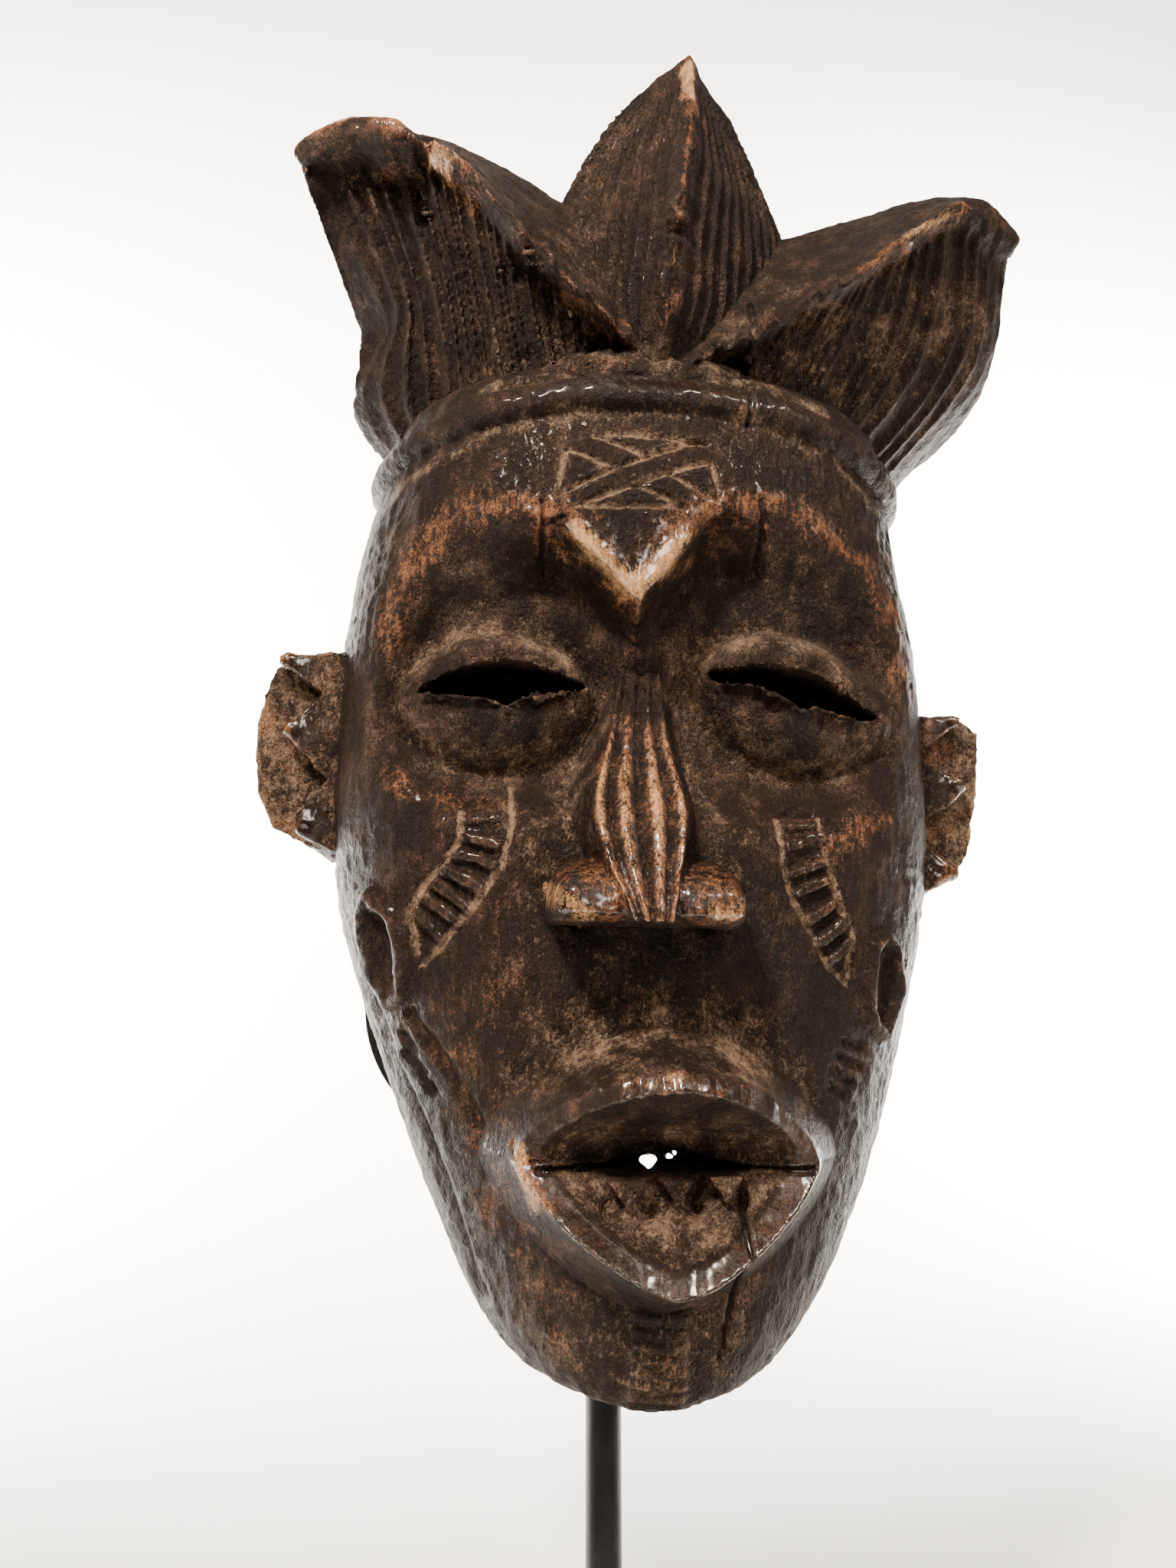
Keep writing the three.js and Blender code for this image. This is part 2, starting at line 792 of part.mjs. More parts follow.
function middleTuft(tuft) {
  const loops = [];
  const slices = 9;
  for (let i = 0; i <= slices; i += 1) {
    const t = i / slices;
    const ridge = onRail(tuft.ridge, t);
    const edges = [onRail(tuft.left, t), onRail(tuft.right, t)];
    const back = onRail(tuft.back, t);
    const loop = [];
    const face = (edge, reverse) => {
      const steps = tuft.grooves * 2;
      for (let k = 1; k < steps; k += 1) {
        const s = reverse ? 1 - k / steps : k / steps;
        const arch = 4 * s * (1 - s);
        const cut = k % 2 === 1 ? tuft.grooveDepth * (1 - smooth(0.85, 1, t)) : 0;
        loop.push([
          ridge[0] + (edge[0] - ridge[0]) * s,
          ridge[1] + (edge[1] - ridge[1]) * s + tuft.puff * 0.5 * arch * (1 - t) - cut,
          ridge[2] + (edge[2] - ridge[2]) * s,
        ]);
      }
    };
    loop.push(ridge);
    face(edges[1], false);
    loop.push(edges[1]);
    loop.push([(edges[1][0] + back[0]) * 0.5 + 3 * (1 - t), (edges[1][1] + back[1]) * 0.5 - 2, back[2]]);
    loop.push(back);
    loop.push([(edges[0][0] + back[0]) * 0.5 - 3 * (1 - t), (edges[0][1] + back[1]) * 0.5 - 2, back[2]]);
    loop.push(edges[0]);
    face(edges[0], true);
    loops.push(loop);
  }
  return loft(loops);
}

// Ears: flat plates standing out from the sides, with a raised inner strip and three teeth
const STRIP_PROUD = 3;
const TOOTH_PROUD = 3.5;
const TOOTH_SPREAD = 8;
const EARS = [
  {
    side: -1,
    depth: 58,
    thick: 9,
    outline: [[-66, 154], [-72, 152], [-83, 150], [-86, 147.5], [-88.5, 141], [-89.5, 127], [-88, 118],
      [-84.5, 110], [-80, 107.5], [-72, 104.5], [-66, 103]],
    strip: [-75.5, -67],
    teeth: [[-81.5, 147], [-82, 131], [-78, 113]],
  },
  {
    side: 1,
    depth: 58,
    thick: 9,
    outline: [[62, 99], [69, 100], [76.5, 104], [80, 109.5], [82.5, 124.5], [84, 136], [83.5, 140], [81, 143],
      [79, 143.2], [68, 143.6], [62, 144]],
    strip: [64, 70],
    teeth: [[75, 142], [78, 125.5], [74.5, 106]],
  },
];

function ear(shape) {
  const plate = prism(shape.outline, shape.depth - shape.thick, shape.depth, 0.96);
  const lowest = Math.min(...shape.outline.map((p) => p[1])) + 1;
  const highest = Math.max(...shape.outline.map((p) => p[1])) - 1;
  const [a, b] = shape.strip;
  const strip = [[a, lowest], [b, lowest], [b, highest], [a, highest]];
  let made = plate.add(prism(strip, shape.depth - 6, shape.depth + STRIP_PROUD, 1));
  const inner = shape.side < 0 ? a + 1 : b - 1;
  const sunk = shape.depth - 2;
  for (const [x, z] of shape.teeth) {
    const root = [
      [inner, sunk, z - TOOTH_SPREAD],
      [inner, shape.depth + TOOTH_PROUD, z - 2],
      [inner, sunk, z + 5],
    ];
    const point = [
      [x, sunk, z - 1],
      [x, shape.depth + 1, z],
      [x, sunk, z + 1],
    ];
    made = made.add(loft([root, point]));
  }
  return made;
}

// Ladders on the cheeks: two rails with rungs between them
const LADDERS = [
  { inner: [[-31, 111], [-31.5, 102.5], [-33.5, 95], [-39.5, 86.5], [-48, 76.5]],
    outer: [[-42, 110], [-43.5, 101], [-46, 96], [-49.5, 90.5], [-52.5, 84]], rungs: 8 },
  { inner: [[27, 110], [29, 99], [33, 89], [37.5, 80], [44, 74]],
    outer: [[36, 110.5], [38, 103.5], [42.5, 95], [46, 89], [49, 83]], rungs: 8 },
];

// Chip-cut lines, and the lines of the forehead sign
const CUT_WIDTH = 1.6;
const CUT_DEPTH = 1.2;
const SIGN = [
  [[-16, 195.5], [6, 195]],
  [[-22, 191], [-8, 186.5]],
  [[-16, 194.5], [-4, 189]],
  [[6, 195], [-24.5, 180.5]],
  [[-22, 191], [-24.5, 180.5]],
  [[9.5, 190.5], [-20, 178]],
  [[-1, 187], [11, 181.5]],
  [[10.5, 190], [11, 182]],
  [[-8, 184.5], [5.5, 179]],
  [[-18.5, 178], [1, 179]],
];

// Hollows of the drop-shaped marks on the cheeks and the short bands below them
const CHEEK_DROPS = [
  [[-59.5, 90], [-56, 69]],
  [[60, 86], [56, 65]],
];
const CHEEK_BANDS = [
  { from: [-50, 64], to: [-42, 48], count: 4, reach: 5 },
  { from: [47.5, 62], to: [46, 50], count: 4, reach: 8 },
];

function alongPath(path, t) {
  const place = t * (path.length - 1);
  const i = Math.min(path.length - 2, Math.floor(place));
  const part = place - i;
  return [0, 1].map((k) => path[i][k] + (path[i + 1][k] - path[i][k]) * part);
}

function chipCuts() {
  const cuts = [];
  const line = (p, q) => cuts.push(gouge(p, q, CUT_WIDTH, CUT_DEPTH));
  for (const [p, q] of SIGN) line(p, q);
  for (const ladder of LADDERS) {
    for (const rail of [ladder.inner, ladder.outer]) {
      for (let i = 0; i < rail.length - 1; i += 1) line(rail[i], rail[i + 1]);
    }
    for (let k = 0; k < ladder.rungs; k += 1) {
      const t = (k + 0.5) / ladder.rungs;
      const p = alongPath(ladder.inner, t);
      const q = alongPath(ladder.outer, t);
      const inset = (a, b, s) => [a[0] + (b[0] - a[0]) * s, a[1] + (b[1] - a[1]) * s];
      cuts.push(gouge(inset(p, q, 0.15), inset(p, q, 0.85), 2.2, 1.4));
    }
  }
  for (const [p, q] of CHEEK_DROPS) cuts.push(gouge(p, q, 4, 2));
  for (const band of CHEEK_BANDS) {
    for (let k = 0; k < band.count; k += 1) {
      const t = k / (band.count - 1);
      const x = band.from[0] + (band.to[0] - band.from[0]) * t;
      const z = band.from[1] + (band.to[1] - band.from[1]) * t;
      line([x - band.reach / 2, z - 1.5], [x + band.reach / 2, z + 1.5]);
    }
  }
  const ladder = CHIN_LADDER;
  for (let k = 1; k <= ladder.rungs; k += 1) {
    const z = ladder.top + ((ladder.bottom - ladder.top) * (k - 0.5)) / ladder.rungs;
    cuts.push(gouge([ladder.x - ladder.half + 1, z], [ladder.x + ladder.half - 1, z], 1.3, 1.2));
  }
  return cuts;
}

function mouthCuts() {
  return [prism(SLIT_OUTLINE, 79, 118, 0.9), prism(HOLE_OUTLINE, 60, 100, 1.3)];
}

function maskSolid() {
  const rowDensity = (z) =>
    1 + 0.8 * bump(z - 168, 30) + 1.2 * bump(z - 207, 12) + 1.5 * bump(z + 5, 10) + 0.3 * bump(z - 120, 20);
  const rows = spread(-6, 224, FACE_ROWS, rowDensity);
  const columnDensity = (a) => 1 + 1.2 * bump(a + 0.06, 0.4);
  const columns = spread(-Math.PI / 2, Math.PI / 2, FACE_COLUMNS, columnDensity);
  let made = loft(rows.map((z) => section(z, columns, 0, 0, true)));
  const hollowRows = spread(CAVITY_BOTTOM, CAVITY_TOP, 10, () => 1);
  const hollowColumns = spread(-Math.PI / 2, Math.PI / 2, 12, () => 1);
  const cavity = hollowRows.map((z) =>
    section(z, hollowColumns, WALL, course(CAVITY_SETBACK, z), false),
  );
  made = made.add(mouthSolid()).add(noseSolid());
  for (const wing of WINGS) made = made.add(wingSolid(wing));
  for (const eye of EYES) made = made.add(eyeDome(eye));
  made = made.add(sideTuft(LEFT_TUFT)).add(sideTuft(RIGHT_TUFT)).add(middleTuft(MIDDLE_TUFT));
  for (const shape of EARS) made = made.add(ear(shape));
  made = made.subtract(loft(cavity));
  for (const eye of EYES) made = made.subtract(eyeSlit(eye));
  for (const cut of mouthCuts()) made = made.subtract(cut);
  for (const cut of chipCuts()) made = made.subtract(cut);
  return made;
}

// Stand pieces
function footGeometry() {
  const shape = new THREE.Shape();
  const x = FOOT_WIDTH / 2;
  const y = FOOT_DEPTH / 2;
  const r = FOOT_CORNER;
  shape.moveTo(-x + r, -y);
  shape.lineTo(x - r, -y);
  shape.absarc(x - r, -y + r, r, -Math.PI / 2, 0, false);
  shape.lineTo(x, y - r);
  shape.absarc(x - r, y - r, r, 0, Math.PI / 2, false);
  shape.lineTo(-x + r, y);
  shape.absarc(-x + r, y - r, r, Math.PI / 2, Math.PI, false);
  shape.lineTo(-x, -y + r);
  shape.absarc(-x + r, -y + r, r, Math.PI, Math.PI * 1.5, false);
  return new THREE.ExtrudeGeometry(shape, { depth: FOOT_THICK, bevelEnabled: false, curveSegments: 6 });
}

function rodGeometry() {
  const low = FOOT_THICK + GAP;
  const high = CHIN_ABOVE_FLOOR + ROD_TOP;
  const profile = [
    new THREE.Vector2(0, low),
    new THREE.Vector2(COLLAR_RADIUS, low),
    new THREE.Vector2(COLLAR_RADIUS, low + COLLAR_HEIGHT - 1),
    new THREE.Vector2(COLLAR_RADIUS - 1, low + COLLAR_HEIGHT),
    new THREE.Vector2(ROD_RADIUS, low + COLLAR_HEIGHT),
    new THREE.Vector2(ROD_RADIUS, high - 0.8),
    new THREE.Vector2(ROD_RADIUS - 0.8, high),
    new THREE.Vector2(0, high),
  ];
  return new THREE.LatheGeometry(profile, ROD_SIDES).rotateX(Math.PI / 2);
}

function boardSolid() {
  const corner = (cx, cz, r, from) => {
    const arc = [];
    for (let k = 0; k <= 6; k += 1) {
      const a = radians(from + 15 * k);
      arc.push([cx + r * Math.cos(a), cz + r * Math.sin(a)]);
    }
    return arc;
  };
  const r = BOARD_CORNER;
  const outline = [
    ...corner(BOARD_RIGHT - r, BOARD_TOP - r, r, 0),
    ...corner(BOARD_LEFT + r, BOARD_TOP - r, r, 90),
    ...corner(BOARD_LEFT + r, BOARD_BOTTOM + r, r, 180),
    ...corner(BOARD_RIGHT - r, BOARD_BOTTOM + r, r, 270),
  ];
  const board = prism(outline, -BOARD_THICK, 0, 1);
  const half = CLAMP_WIDTH / 2;
  const low = CLAMP_LEVEL - CLAMP_HEIGHT / 2;
  const high = CLAMP_LEVEL + CLAMP_HEIGHT / 2;
  const clamp = [[-half, low], [half, low], [half, high], [-half, high]];
  return board.add(prism(clamp, -1, ROD_DEPTH - ROD_RADIUS - GAP, 1));
}

const object = new THREE.Group();

const onStand = new THREE.Group();
onStand.position.set(MASK_SHIFT, FOOT_CENTRE_DEPTH, CHIN_ABOVE_FLOOR);
object.add(onStand);

const mask = new THREE.Mesh(geometryOf(maskSolid()), WOOD);
mask.name = "mask";
mask.rotation.y = radians(LEAN_DEGREES);
onStand.add(mask);

const backing = new THREE.Mesh(geometryOf(boardSolid()), BLACK_BOARD);
backing.name = "backing";
onStand.add(backing);

const rod = new THREE.Mesh(rodGeometry(), BLACK_STEEL);
rod.name = "rod";
rod.position.set(0, FOOT_CENTRE_DEPTH - ROD_DEPTH, 0);
object.add(rod);

const foot = new THREE.Mesh(footGeometry(), BLACK_FOOT);
foot.name = "base_plate";
object.add(foot);

export default object;
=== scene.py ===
import math

import bpy
import numpy as np
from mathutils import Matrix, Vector


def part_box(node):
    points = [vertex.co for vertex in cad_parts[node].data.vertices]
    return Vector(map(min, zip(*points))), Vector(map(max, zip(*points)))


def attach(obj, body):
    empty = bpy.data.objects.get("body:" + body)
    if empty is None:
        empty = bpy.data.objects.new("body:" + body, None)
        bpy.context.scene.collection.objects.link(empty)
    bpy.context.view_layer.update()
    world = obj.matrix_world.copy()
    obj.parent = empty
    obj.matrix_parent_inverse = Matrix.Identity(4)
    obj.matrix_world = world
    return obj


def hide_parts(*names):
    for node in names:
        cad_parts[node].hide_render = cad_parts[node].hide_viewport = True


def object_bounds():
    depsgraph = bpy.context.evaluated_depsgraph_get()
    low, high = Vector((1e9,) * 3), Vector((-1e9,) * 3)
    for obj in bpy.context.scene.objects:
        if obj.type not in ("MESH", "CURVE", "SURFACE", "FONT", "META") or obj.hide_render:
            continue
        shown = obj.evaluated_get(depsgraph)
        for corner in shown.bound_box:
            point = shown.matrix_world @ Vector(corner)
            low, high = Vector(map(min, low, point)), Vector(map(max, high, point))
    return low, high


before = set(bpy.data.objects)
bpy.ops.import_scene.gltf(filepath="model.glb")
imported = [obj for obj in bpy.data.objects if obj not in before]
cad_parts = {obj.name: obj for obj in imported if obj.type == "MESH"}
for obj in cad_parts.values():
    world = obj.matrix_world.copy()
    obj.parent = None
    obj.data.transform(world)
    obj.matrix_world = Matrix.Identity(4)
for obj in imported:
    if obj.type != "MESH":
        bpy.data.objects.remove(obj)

# A carved wooden face mask with a three-pointed crest, on a black display rod with a foot.
# The carving is worked out in the mask's own frame, in millimetres: x to the right as seen from the
# front, depth forward from the plane of its back, height up from the chin. It is put into the shared
# frame, in metres, at the end.

CAD_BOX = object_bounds()
MM = 0.001
LEAN = math.radians(1.5)
CHIN_PLACE = np.array([1.5, 58.0, 104.0])
BOX_MARGIN = 0.1 * MM

# Fineness of the carving: size of a facet before thinning, triangles kept, and roughness of the tool marks
FACE_FACET, FACE_TRIANGLES, FACE_ROUGH = 0.55, 190000, 1.0
FACE_SEAM = 112
NOSE_WORK = (0.42, 60000, 0.7)
MOUTH_WORK = (0.45, 95000, 0.42)
EAR_WORK = (0.5, 32000, 1.2)
TUFT_WORK = (0.5, 125000, 0.8)

# Face shell: half width, sideways shift, front depth, rim depth and squareness at each height
HALF_WIDTH = [(-6, 15.5), (-3, 26), (2, 32.4), (10, 38.4), (24, 45.6), (40, 52.2), (56, 57.7), (72, 62.7),
              (92, 67.8), (120, 70.3), (150, 69.5), (175, 67), (200, 62.8), (212, 60), (219, 52), (224, 40)]
SIDE_SHIFT = [(-6, 1.8), (20, 3.1), (45, 2.2), (70, 0.5), (100, -1), (150, -1.7), (175, -2), (200, -0.5),
              (224, 2)]
FRONT = [(-6, 85), (-2, 90), (10, 93), (42, 93.5), (66, 92.5), (90, 91), (130, 90.5), (160, 92), (182, 92.5),
         (200, 90.5), (212, 87), (219, 80), (224, 68)]
RIM = [(-6, 46), (8, 34), (20, 27), (40, 13), (60, 3), (75, 0.5), (200, 0.5), (212, 5), (224, 24)]
SQUARENESS = [(-6, 2.2), (20, 2.3), (60, 2.6), (100, 2.9), (150, 2.7), (188, 2.15), (224, 2)]
WIDEST_DEPTH, FRONT_OVER_SIDES = 47, 8
REAR_NARROWING = 0.05
SHELL_BOTTOM, SHELL_TOP = -6, 224
WALL = 8
HOLLOW_SETBACK = [(6, 12), (20, 15), (43, 16), (70, 13), (105, 14), (125, 21), (155, 20), (175, 12),
                  (206, 12)]
HOLLOW_BOTTOM, HOLLOW_TOP, HOLLOW_BACK = 6, 206, -20

# Brow edge, with the pointed wedge between the brows, and the hollows of the eyes below it. A pair of
# values is where a form starts and ends, from the face's middle line, below the brow's edge or in height.
BROW_EDGE = [(-64, 142), (-59, 152), (-55, 162), (-49, 171), (-40, 176), (-23, 175), (-5.5, 157.5),
             (9.5, 178), (22, 180.5), (37, 177), (48, 172), (55, 163), (60, 150), (64, 141)]
FACE_AXIS = -4
CENTRE_REACH, ORBIT_REACH, TEMPLE = (16, 34), (10, 46), (48, 60)
ORBIT_DEPTH, ORBIT_OUTER_DEPTH = 12, 9
ORBIT_SLOPE, CENTRE_STEEPNESS = 20, 12
INNER_CORNER = {"side": 14, "wide": 12, "z": 139, "high": 20, "depth": 4}
WEDGE_LIP, WEDGE_LIP_RISE, WEDGE_LIP_REACH = 0.7, 3.5, 6
WEDGE_STEP, WEDGE_STEP_START, WEDGE_STEP_END, WEDGE_TIP = 1.8, (-0.4, 1.4), (9, 16), (150, 156)
CREASE = {"x": -4.6, "wide": 5, "start": (143, 148), "end": (155, 158), "proud": 3}
CHEEK_LINE, CHEEK_RISE, CHEEK_SIDES, CHEEK_SLOPE, CHEEK_EDGE = 117, 12, (34, 58), 12, 6
CUP_EDGE = (0.45, 0.85)

# Eyes: the domed lids, and the outline of the slit through each
EYES = [
    {"x": -35, "z": 137, "wide": 22, "high": 15.5, "tilt": 5,
     "torn": [(-28, 135.5), (-22, 137), (-44, 134.5)],
     "slit": [(-52.5, 137.5), (-49, 139), (-45.7, 141), (-39.3, 143.3), (-34, 143.8), (-27.5, 143.4),
              (-22.6, 142.2), (-16.3, 140.8), (-21, 139.2), (-26, 137.8), (-30.6, 136.6), (-33.2, 134.6),
              (-35.5, 136), (-42, 136.7)]},
    {"x": 31.5, "z": 139.5, "wide": 22.5, "high": 16, "tilt": -13,
     "torn": [(18, 139), (24.5, 137), (38, 134)],
     "slit": [(11.7, 145.9), (17, 145.1), (22.6, 145.6), (29.5, 145.3), (36.5, 143.1), (41.8, 140.4),
              (49, 136), (43, 136.3), (38.5, 136.8), (33.4, 137.9), (31.3, 137), (26.7, 139.6),
              (21.6, 141.6), (14.9, 142.5)]},
]
EYE_SIDES = 96
EYE_BULGE, EYE_FOOT, LID_SUNK = 8, 8, 0.8
LID_LIP, LID_LIP_PLACE, LID_LIP_REACH = 1.5, 0.97, 0.13

# Nose: middle line, ridge, half width and slope of its sides at each height, flutes across it, and wings
NOSE_AXIS = [(86, -4.2), (100, -5.4), (112, -5.6), (146, -3.4)]
NOSE_RIDGE = [(86, 112), (90, 112), (97, 108.5), (108, 102), (122, 92.5), (135, 84.5), (146, 79.5)]
NOSE_HALF = [(86, 3), (91, 4.4), (101, 7.6), (112, 9.2), (128, 6.4), (146, 4.2)]
NOSE_SIDE_SLOPE = [(86, 9), (100, 6), (112, 3.4), (146, 2.4)]
NOSE_BOTTOM, NOSE_TOP, NOSE_CUT, NOSE_SUNK = 88, 148, 0.5, 5
FLUTE_DEPTH, FLUTE_ROUNDNESS, FLUTE_FADE = 2.6, 1.25, 9
FLUTES = [(-1, -0.5), (-0.94, 0), (-0.66, -1), (-0.37, 0), (0, -1), (0.37, 0), (0.66, -1), (0.94, 0),
          (1, -0.5)]
WING_ROOT, WING_CUT, WING_ROUNDNESS = 82, 0.4, (0.45, 0.5, 3.2)
WINGS = [{"x": -15.4, "wide": 8.6, "depth": 109, "top": 102.4},
         {"x": 7, "wide": 9, "depth": 108.5, "top": 103}]

# Mouth: a flared cup with a pointed outline, a slit across its bottom and pointed teeth
MOUTH_X, MOUTH_Z = 1.5, 43
MOUTH_WIDE, MOUTH_UP, MOUTH_DOWN = 29.7, 18.2, 22.2
MOUTH_POWER_UP, MOUTH_POWER_DOWN = 1.7, 1.35
MOUTH_SIDES = 300
LIP_DEPTH, LIP_CORNER_DROP = 112, 14
SLIT_DEPTH, SLIT_CUT, CUP_RECESS = 89, (70, 118), 5.3
LIP_FALL, FLANK_UP, FLANK_DOWN, LIP_SWELL = 11, 0.75, 0.7, 0.8
LIP_BEVEL, BEVEL_PINCH = 0.8, 0.6
UPPER_FACETS, LOWER_FACETS = 2.6, 2.8
LIP_BACK, LIP_ROOT_SPREAD, LIP_SUNK = 80, 5, 1.5
UNDER_LIPS_DROP, UNDER_LIPS_HALF = 2, 15
EYE_CUT_BACK, CUT_FRONT = 40, 125
FLANK_END, CUP_END = 0.06, 0.06
MOUTH_SLIT = [(-23, 41.5), (-14.9, 42.3), (-6.4, 43.1), (-2, 43.9), (0.6, 43.4), (3.3, 44.4), (6, 43.6),
              (8.8, 44), (12, 43), (17.8, 42.5), (29, 42.1), (20, 41.5), (13.8, 41.1), (6.3, 41),
              (-0.2, 40.8), (-6.9, 41), (-14.9, 41.4)]
MOUTH_HOLES = [[(-3.8, 43.2), (1, 43.2), (-1.2, 40.4)], [(1.7, 42.8), (5, 45.3), (5.6, 44.5), (3.4, 42.5)]]
HOLE_DRIFT, HOLE_BACK, HOLE_FRONT = (3.4, -3.6), 60, 92
TEETH = [(2.6, 37.8, 97.2), (-7, 37.2, 98.8), (11.8, 38.8, 98.4)]
TOOTH_HALF, TOOTH_UP, TOOTH_DOWN, TOOTH_BACK, TOOTH_FRONT, TOOTH_GAP = 3.4, 2.4, 2.8, 6, 3.6, 3.3
SLIT_ENDS = [[(-24, 41.4), (-14, 41.8)], [(17, 42), (30, 42.4)]]
UPPER_TEETH = [(-6.5, 44.4), (1.2, 45.2), (6.3, 45.4), (10.6, 45)]
LIP_RIDGES = [-17.8, -13.2, -9.1, -5.9, -1.8, 1.4, 6.3, 11.2, 14.6, 19.8]

# Headband and chin strip
BAND_LEVEL, BAND_SIDE_DROP, BAND_HALF, BAND_PROUD = 207, 11, 4.3, 3.4
BAND_SIDE, BAND_BOW = 68, 2.2
CHIN_STRIP = {"x": 1, "half": 6, "top": 17, "bottom": -5, "proud": 1.8, "rungs_apart": 2.7}

# Ears: outline of the plate, the raised strip with its three pointed teeth, and the worn root
EAR_DEPTH, EAR_THICK, EAR_STRIP, STRIP_SUNK = 58, 9, 4.2, 6
EARS = [
    {"outline": [(-63, 154), (-66, 154), (-72, 152.4), (-79, 151), (-83, 150), (-86, 147.5), (-88.5, 141),
                 (-89.5, 134), (-89.3, 127), (-88, 118), (-84.5, 110), (-80, 107.5), (-72, 104.5),
                 (-66, 103), (-63, 103)],
     "strip": [(-64, 151), (-74, 150.6), (-84.5, 148.6), (-79, 144.8), (-74.2, 141), (-78, 136.4),
               (-82.2, 132.2), (-78.6, 127), (-75, 124), (-71.8, 121.3), (-75, 117), (-78.4, 112.6),
               (-78, 108.8), (-71.4, 105), (-64, 104)],
     "tips": [(-83, 148), (-81, 132), (-77.4, 111.6)], "root": [(-66.5, 149), (-66, 106)]},
    {"outline": [(60.5, 99), (62, 99), (69, 100), (76.5, 104), (80, 109.5), (82.5, 124.5), (84, 136),
                 (83.5, 140), (81, 142.2), (79, 143.2), (68, 143.6), (62, 144), (60.5, 144)],
     "strip": [(61, 143), (70, 142.8), (77.4, 142), (71, 137.4), (66.8, 131.6), (72, 129.4), (78.4, 126.6),
               (74, 121), (67.2, 117.4), (67.6, 112.6), (71.6, 108), (75.6, 104.8), (68.6, 100.8),
               (61, 100)],
     "tips": [(76.4, 141.4), (77, 126.4), (74.4, 105)], "root": [(63.5, 141), (64, 102)]},
]

# Crest: each tuft is a fan of slices between its ridge, root, top and heel rails, which are given as
# stations of (place, x, depth, height)
BELLY_SKEW, LOBE_PLACE, LOBE_REACH, NOTCH_REACH = 1.15, 0.75, 0.3, 0.04
BEAD_INWARD, BEAD_BACK, BEAD_RADIUS = 2.4, 4.5, 2.6
MOUND_PLACE, MOUND_HALF = (-2, 74, 212), (30, 13.4, 12.5)
LEFT_TUFT = {
    "grooves": 23, "groove_depth": 3.4, "undercut": 3.2, "notch": 0.345, "notch_depth": 3, "hollow": 5,
    "belly": 6, "lobe": -13, "back_slope": 10, "back_inset": -7,
    "ridge": [(0, -2, 85, 215), (0.12, -12, 88, 223), (0.25, -22, 89, 233), (0.36, -32, 90, 241),
              (0.46, -40, 89, 251), (0.56, -47, 87, 261), (0.67, -56, 84, 268.5), (0.86, -73, 77, 273.5),
              (1, -87, 70, 268)],
    "root": [(0, -2, 83, 210), (0.25, -17, 81.5, 209.5), (0.45, -28.5, 78, 209), (0.6, -38, 72.5, 208),
             (0.75, -47, 63.5, 206.5), (0.88, -54.5, 52, 204.5), (1, -58.4, 34, 203)],
    "top": [(0, -4, 60, 262), (0.25, -22, 58, 273.5), (0.5, -42, 60, 282.8), (0.7, -58, 62, 286.3),
            (0.86, -75, 65, 285.6), (1, -88, 66, 277)],
    "heel": [(0, -2, 30, 212), (0.5, -36, 24, 212), (1, -55, 20, 206)],
}
RIGHT_TUFT = {
    "grooves": 22, "groove_depth": 2.6, "undercut": 2.8, "notch": 0.16, "notch_depth": 1.5, "hollow": 4,
    "belly": 13, "lobe": -3, "back_slope": 10, "back_inset": 5,
    "ridge": [(0, 4, 85, 215), (0.16, 21, 88, 224), (0.28, 32, 88, 232.5), (0.4, 42, 88, 239),
              (0.62, 60, 84, 256), (0.82, 77, 78, 269), (1, 93.8, 66.5, 268.5)],
    "root": [(0, 4, 83, 210), (0.25, 17, 81.5, 211), (0.45, 29.5, 77, 210.5), (0.62, 41, 70.5, 209.5),
             (0.8, 53, 59, 207), (0.92, 60.5, 47, 204.5), (1, 64.6, 33, 203)],
    "top": [(0, 8, 60, 258), (0.28, 34, 58, 269), (0.5, 53, 60, 275.5), (0.8, 76, 64, 281.5),
            (0.92, 86, 67, 279.5), (1, 93.8, 63, 275)],
    "heel": [(0, 4, 30, 212), (0.5, 42, 24, 212), (1, 61, 20, 206)],
}
MIDDLE_TUFT = {
    "grooves": 10, "groove_depth": 1.7, "puff": 5,
    "ridge": [(0, -2, 84, 208), (0.1, -1.5, 88, 220), (0.25, 0, 91, 234), (0.45, 2, 90, 253),
              (0.75, 6, 82, 283), (0.93, 7.2, 76, 300), (1, 7, 73, 308)],
    "left": [(0, -24, 62, 208), (0.45, -27, 58, 258), (0.68, -22.5, 58, 276), (0.8, -17.3, 60, 286.5),
             (0.9, -10.6, 62, 297), (0.97, -2, 66, 304), (1, 5, 71, 307)],
    "right": [(0, 28, 62, 208), (0.45, 38, 58, 252), (0.66, 34.5, 58, 269.5), (0.8, 28, 60, 284),
              (0.92, 20, 64, 297), (0.97, 13, 67, 302.5), (1, 9, 71, 307)],
    "back": [(0, 2, 28, 208), (0.6, 3, 38, 262), (0.9, 5, 54, 294), (1, 7, 69, 306)],
}

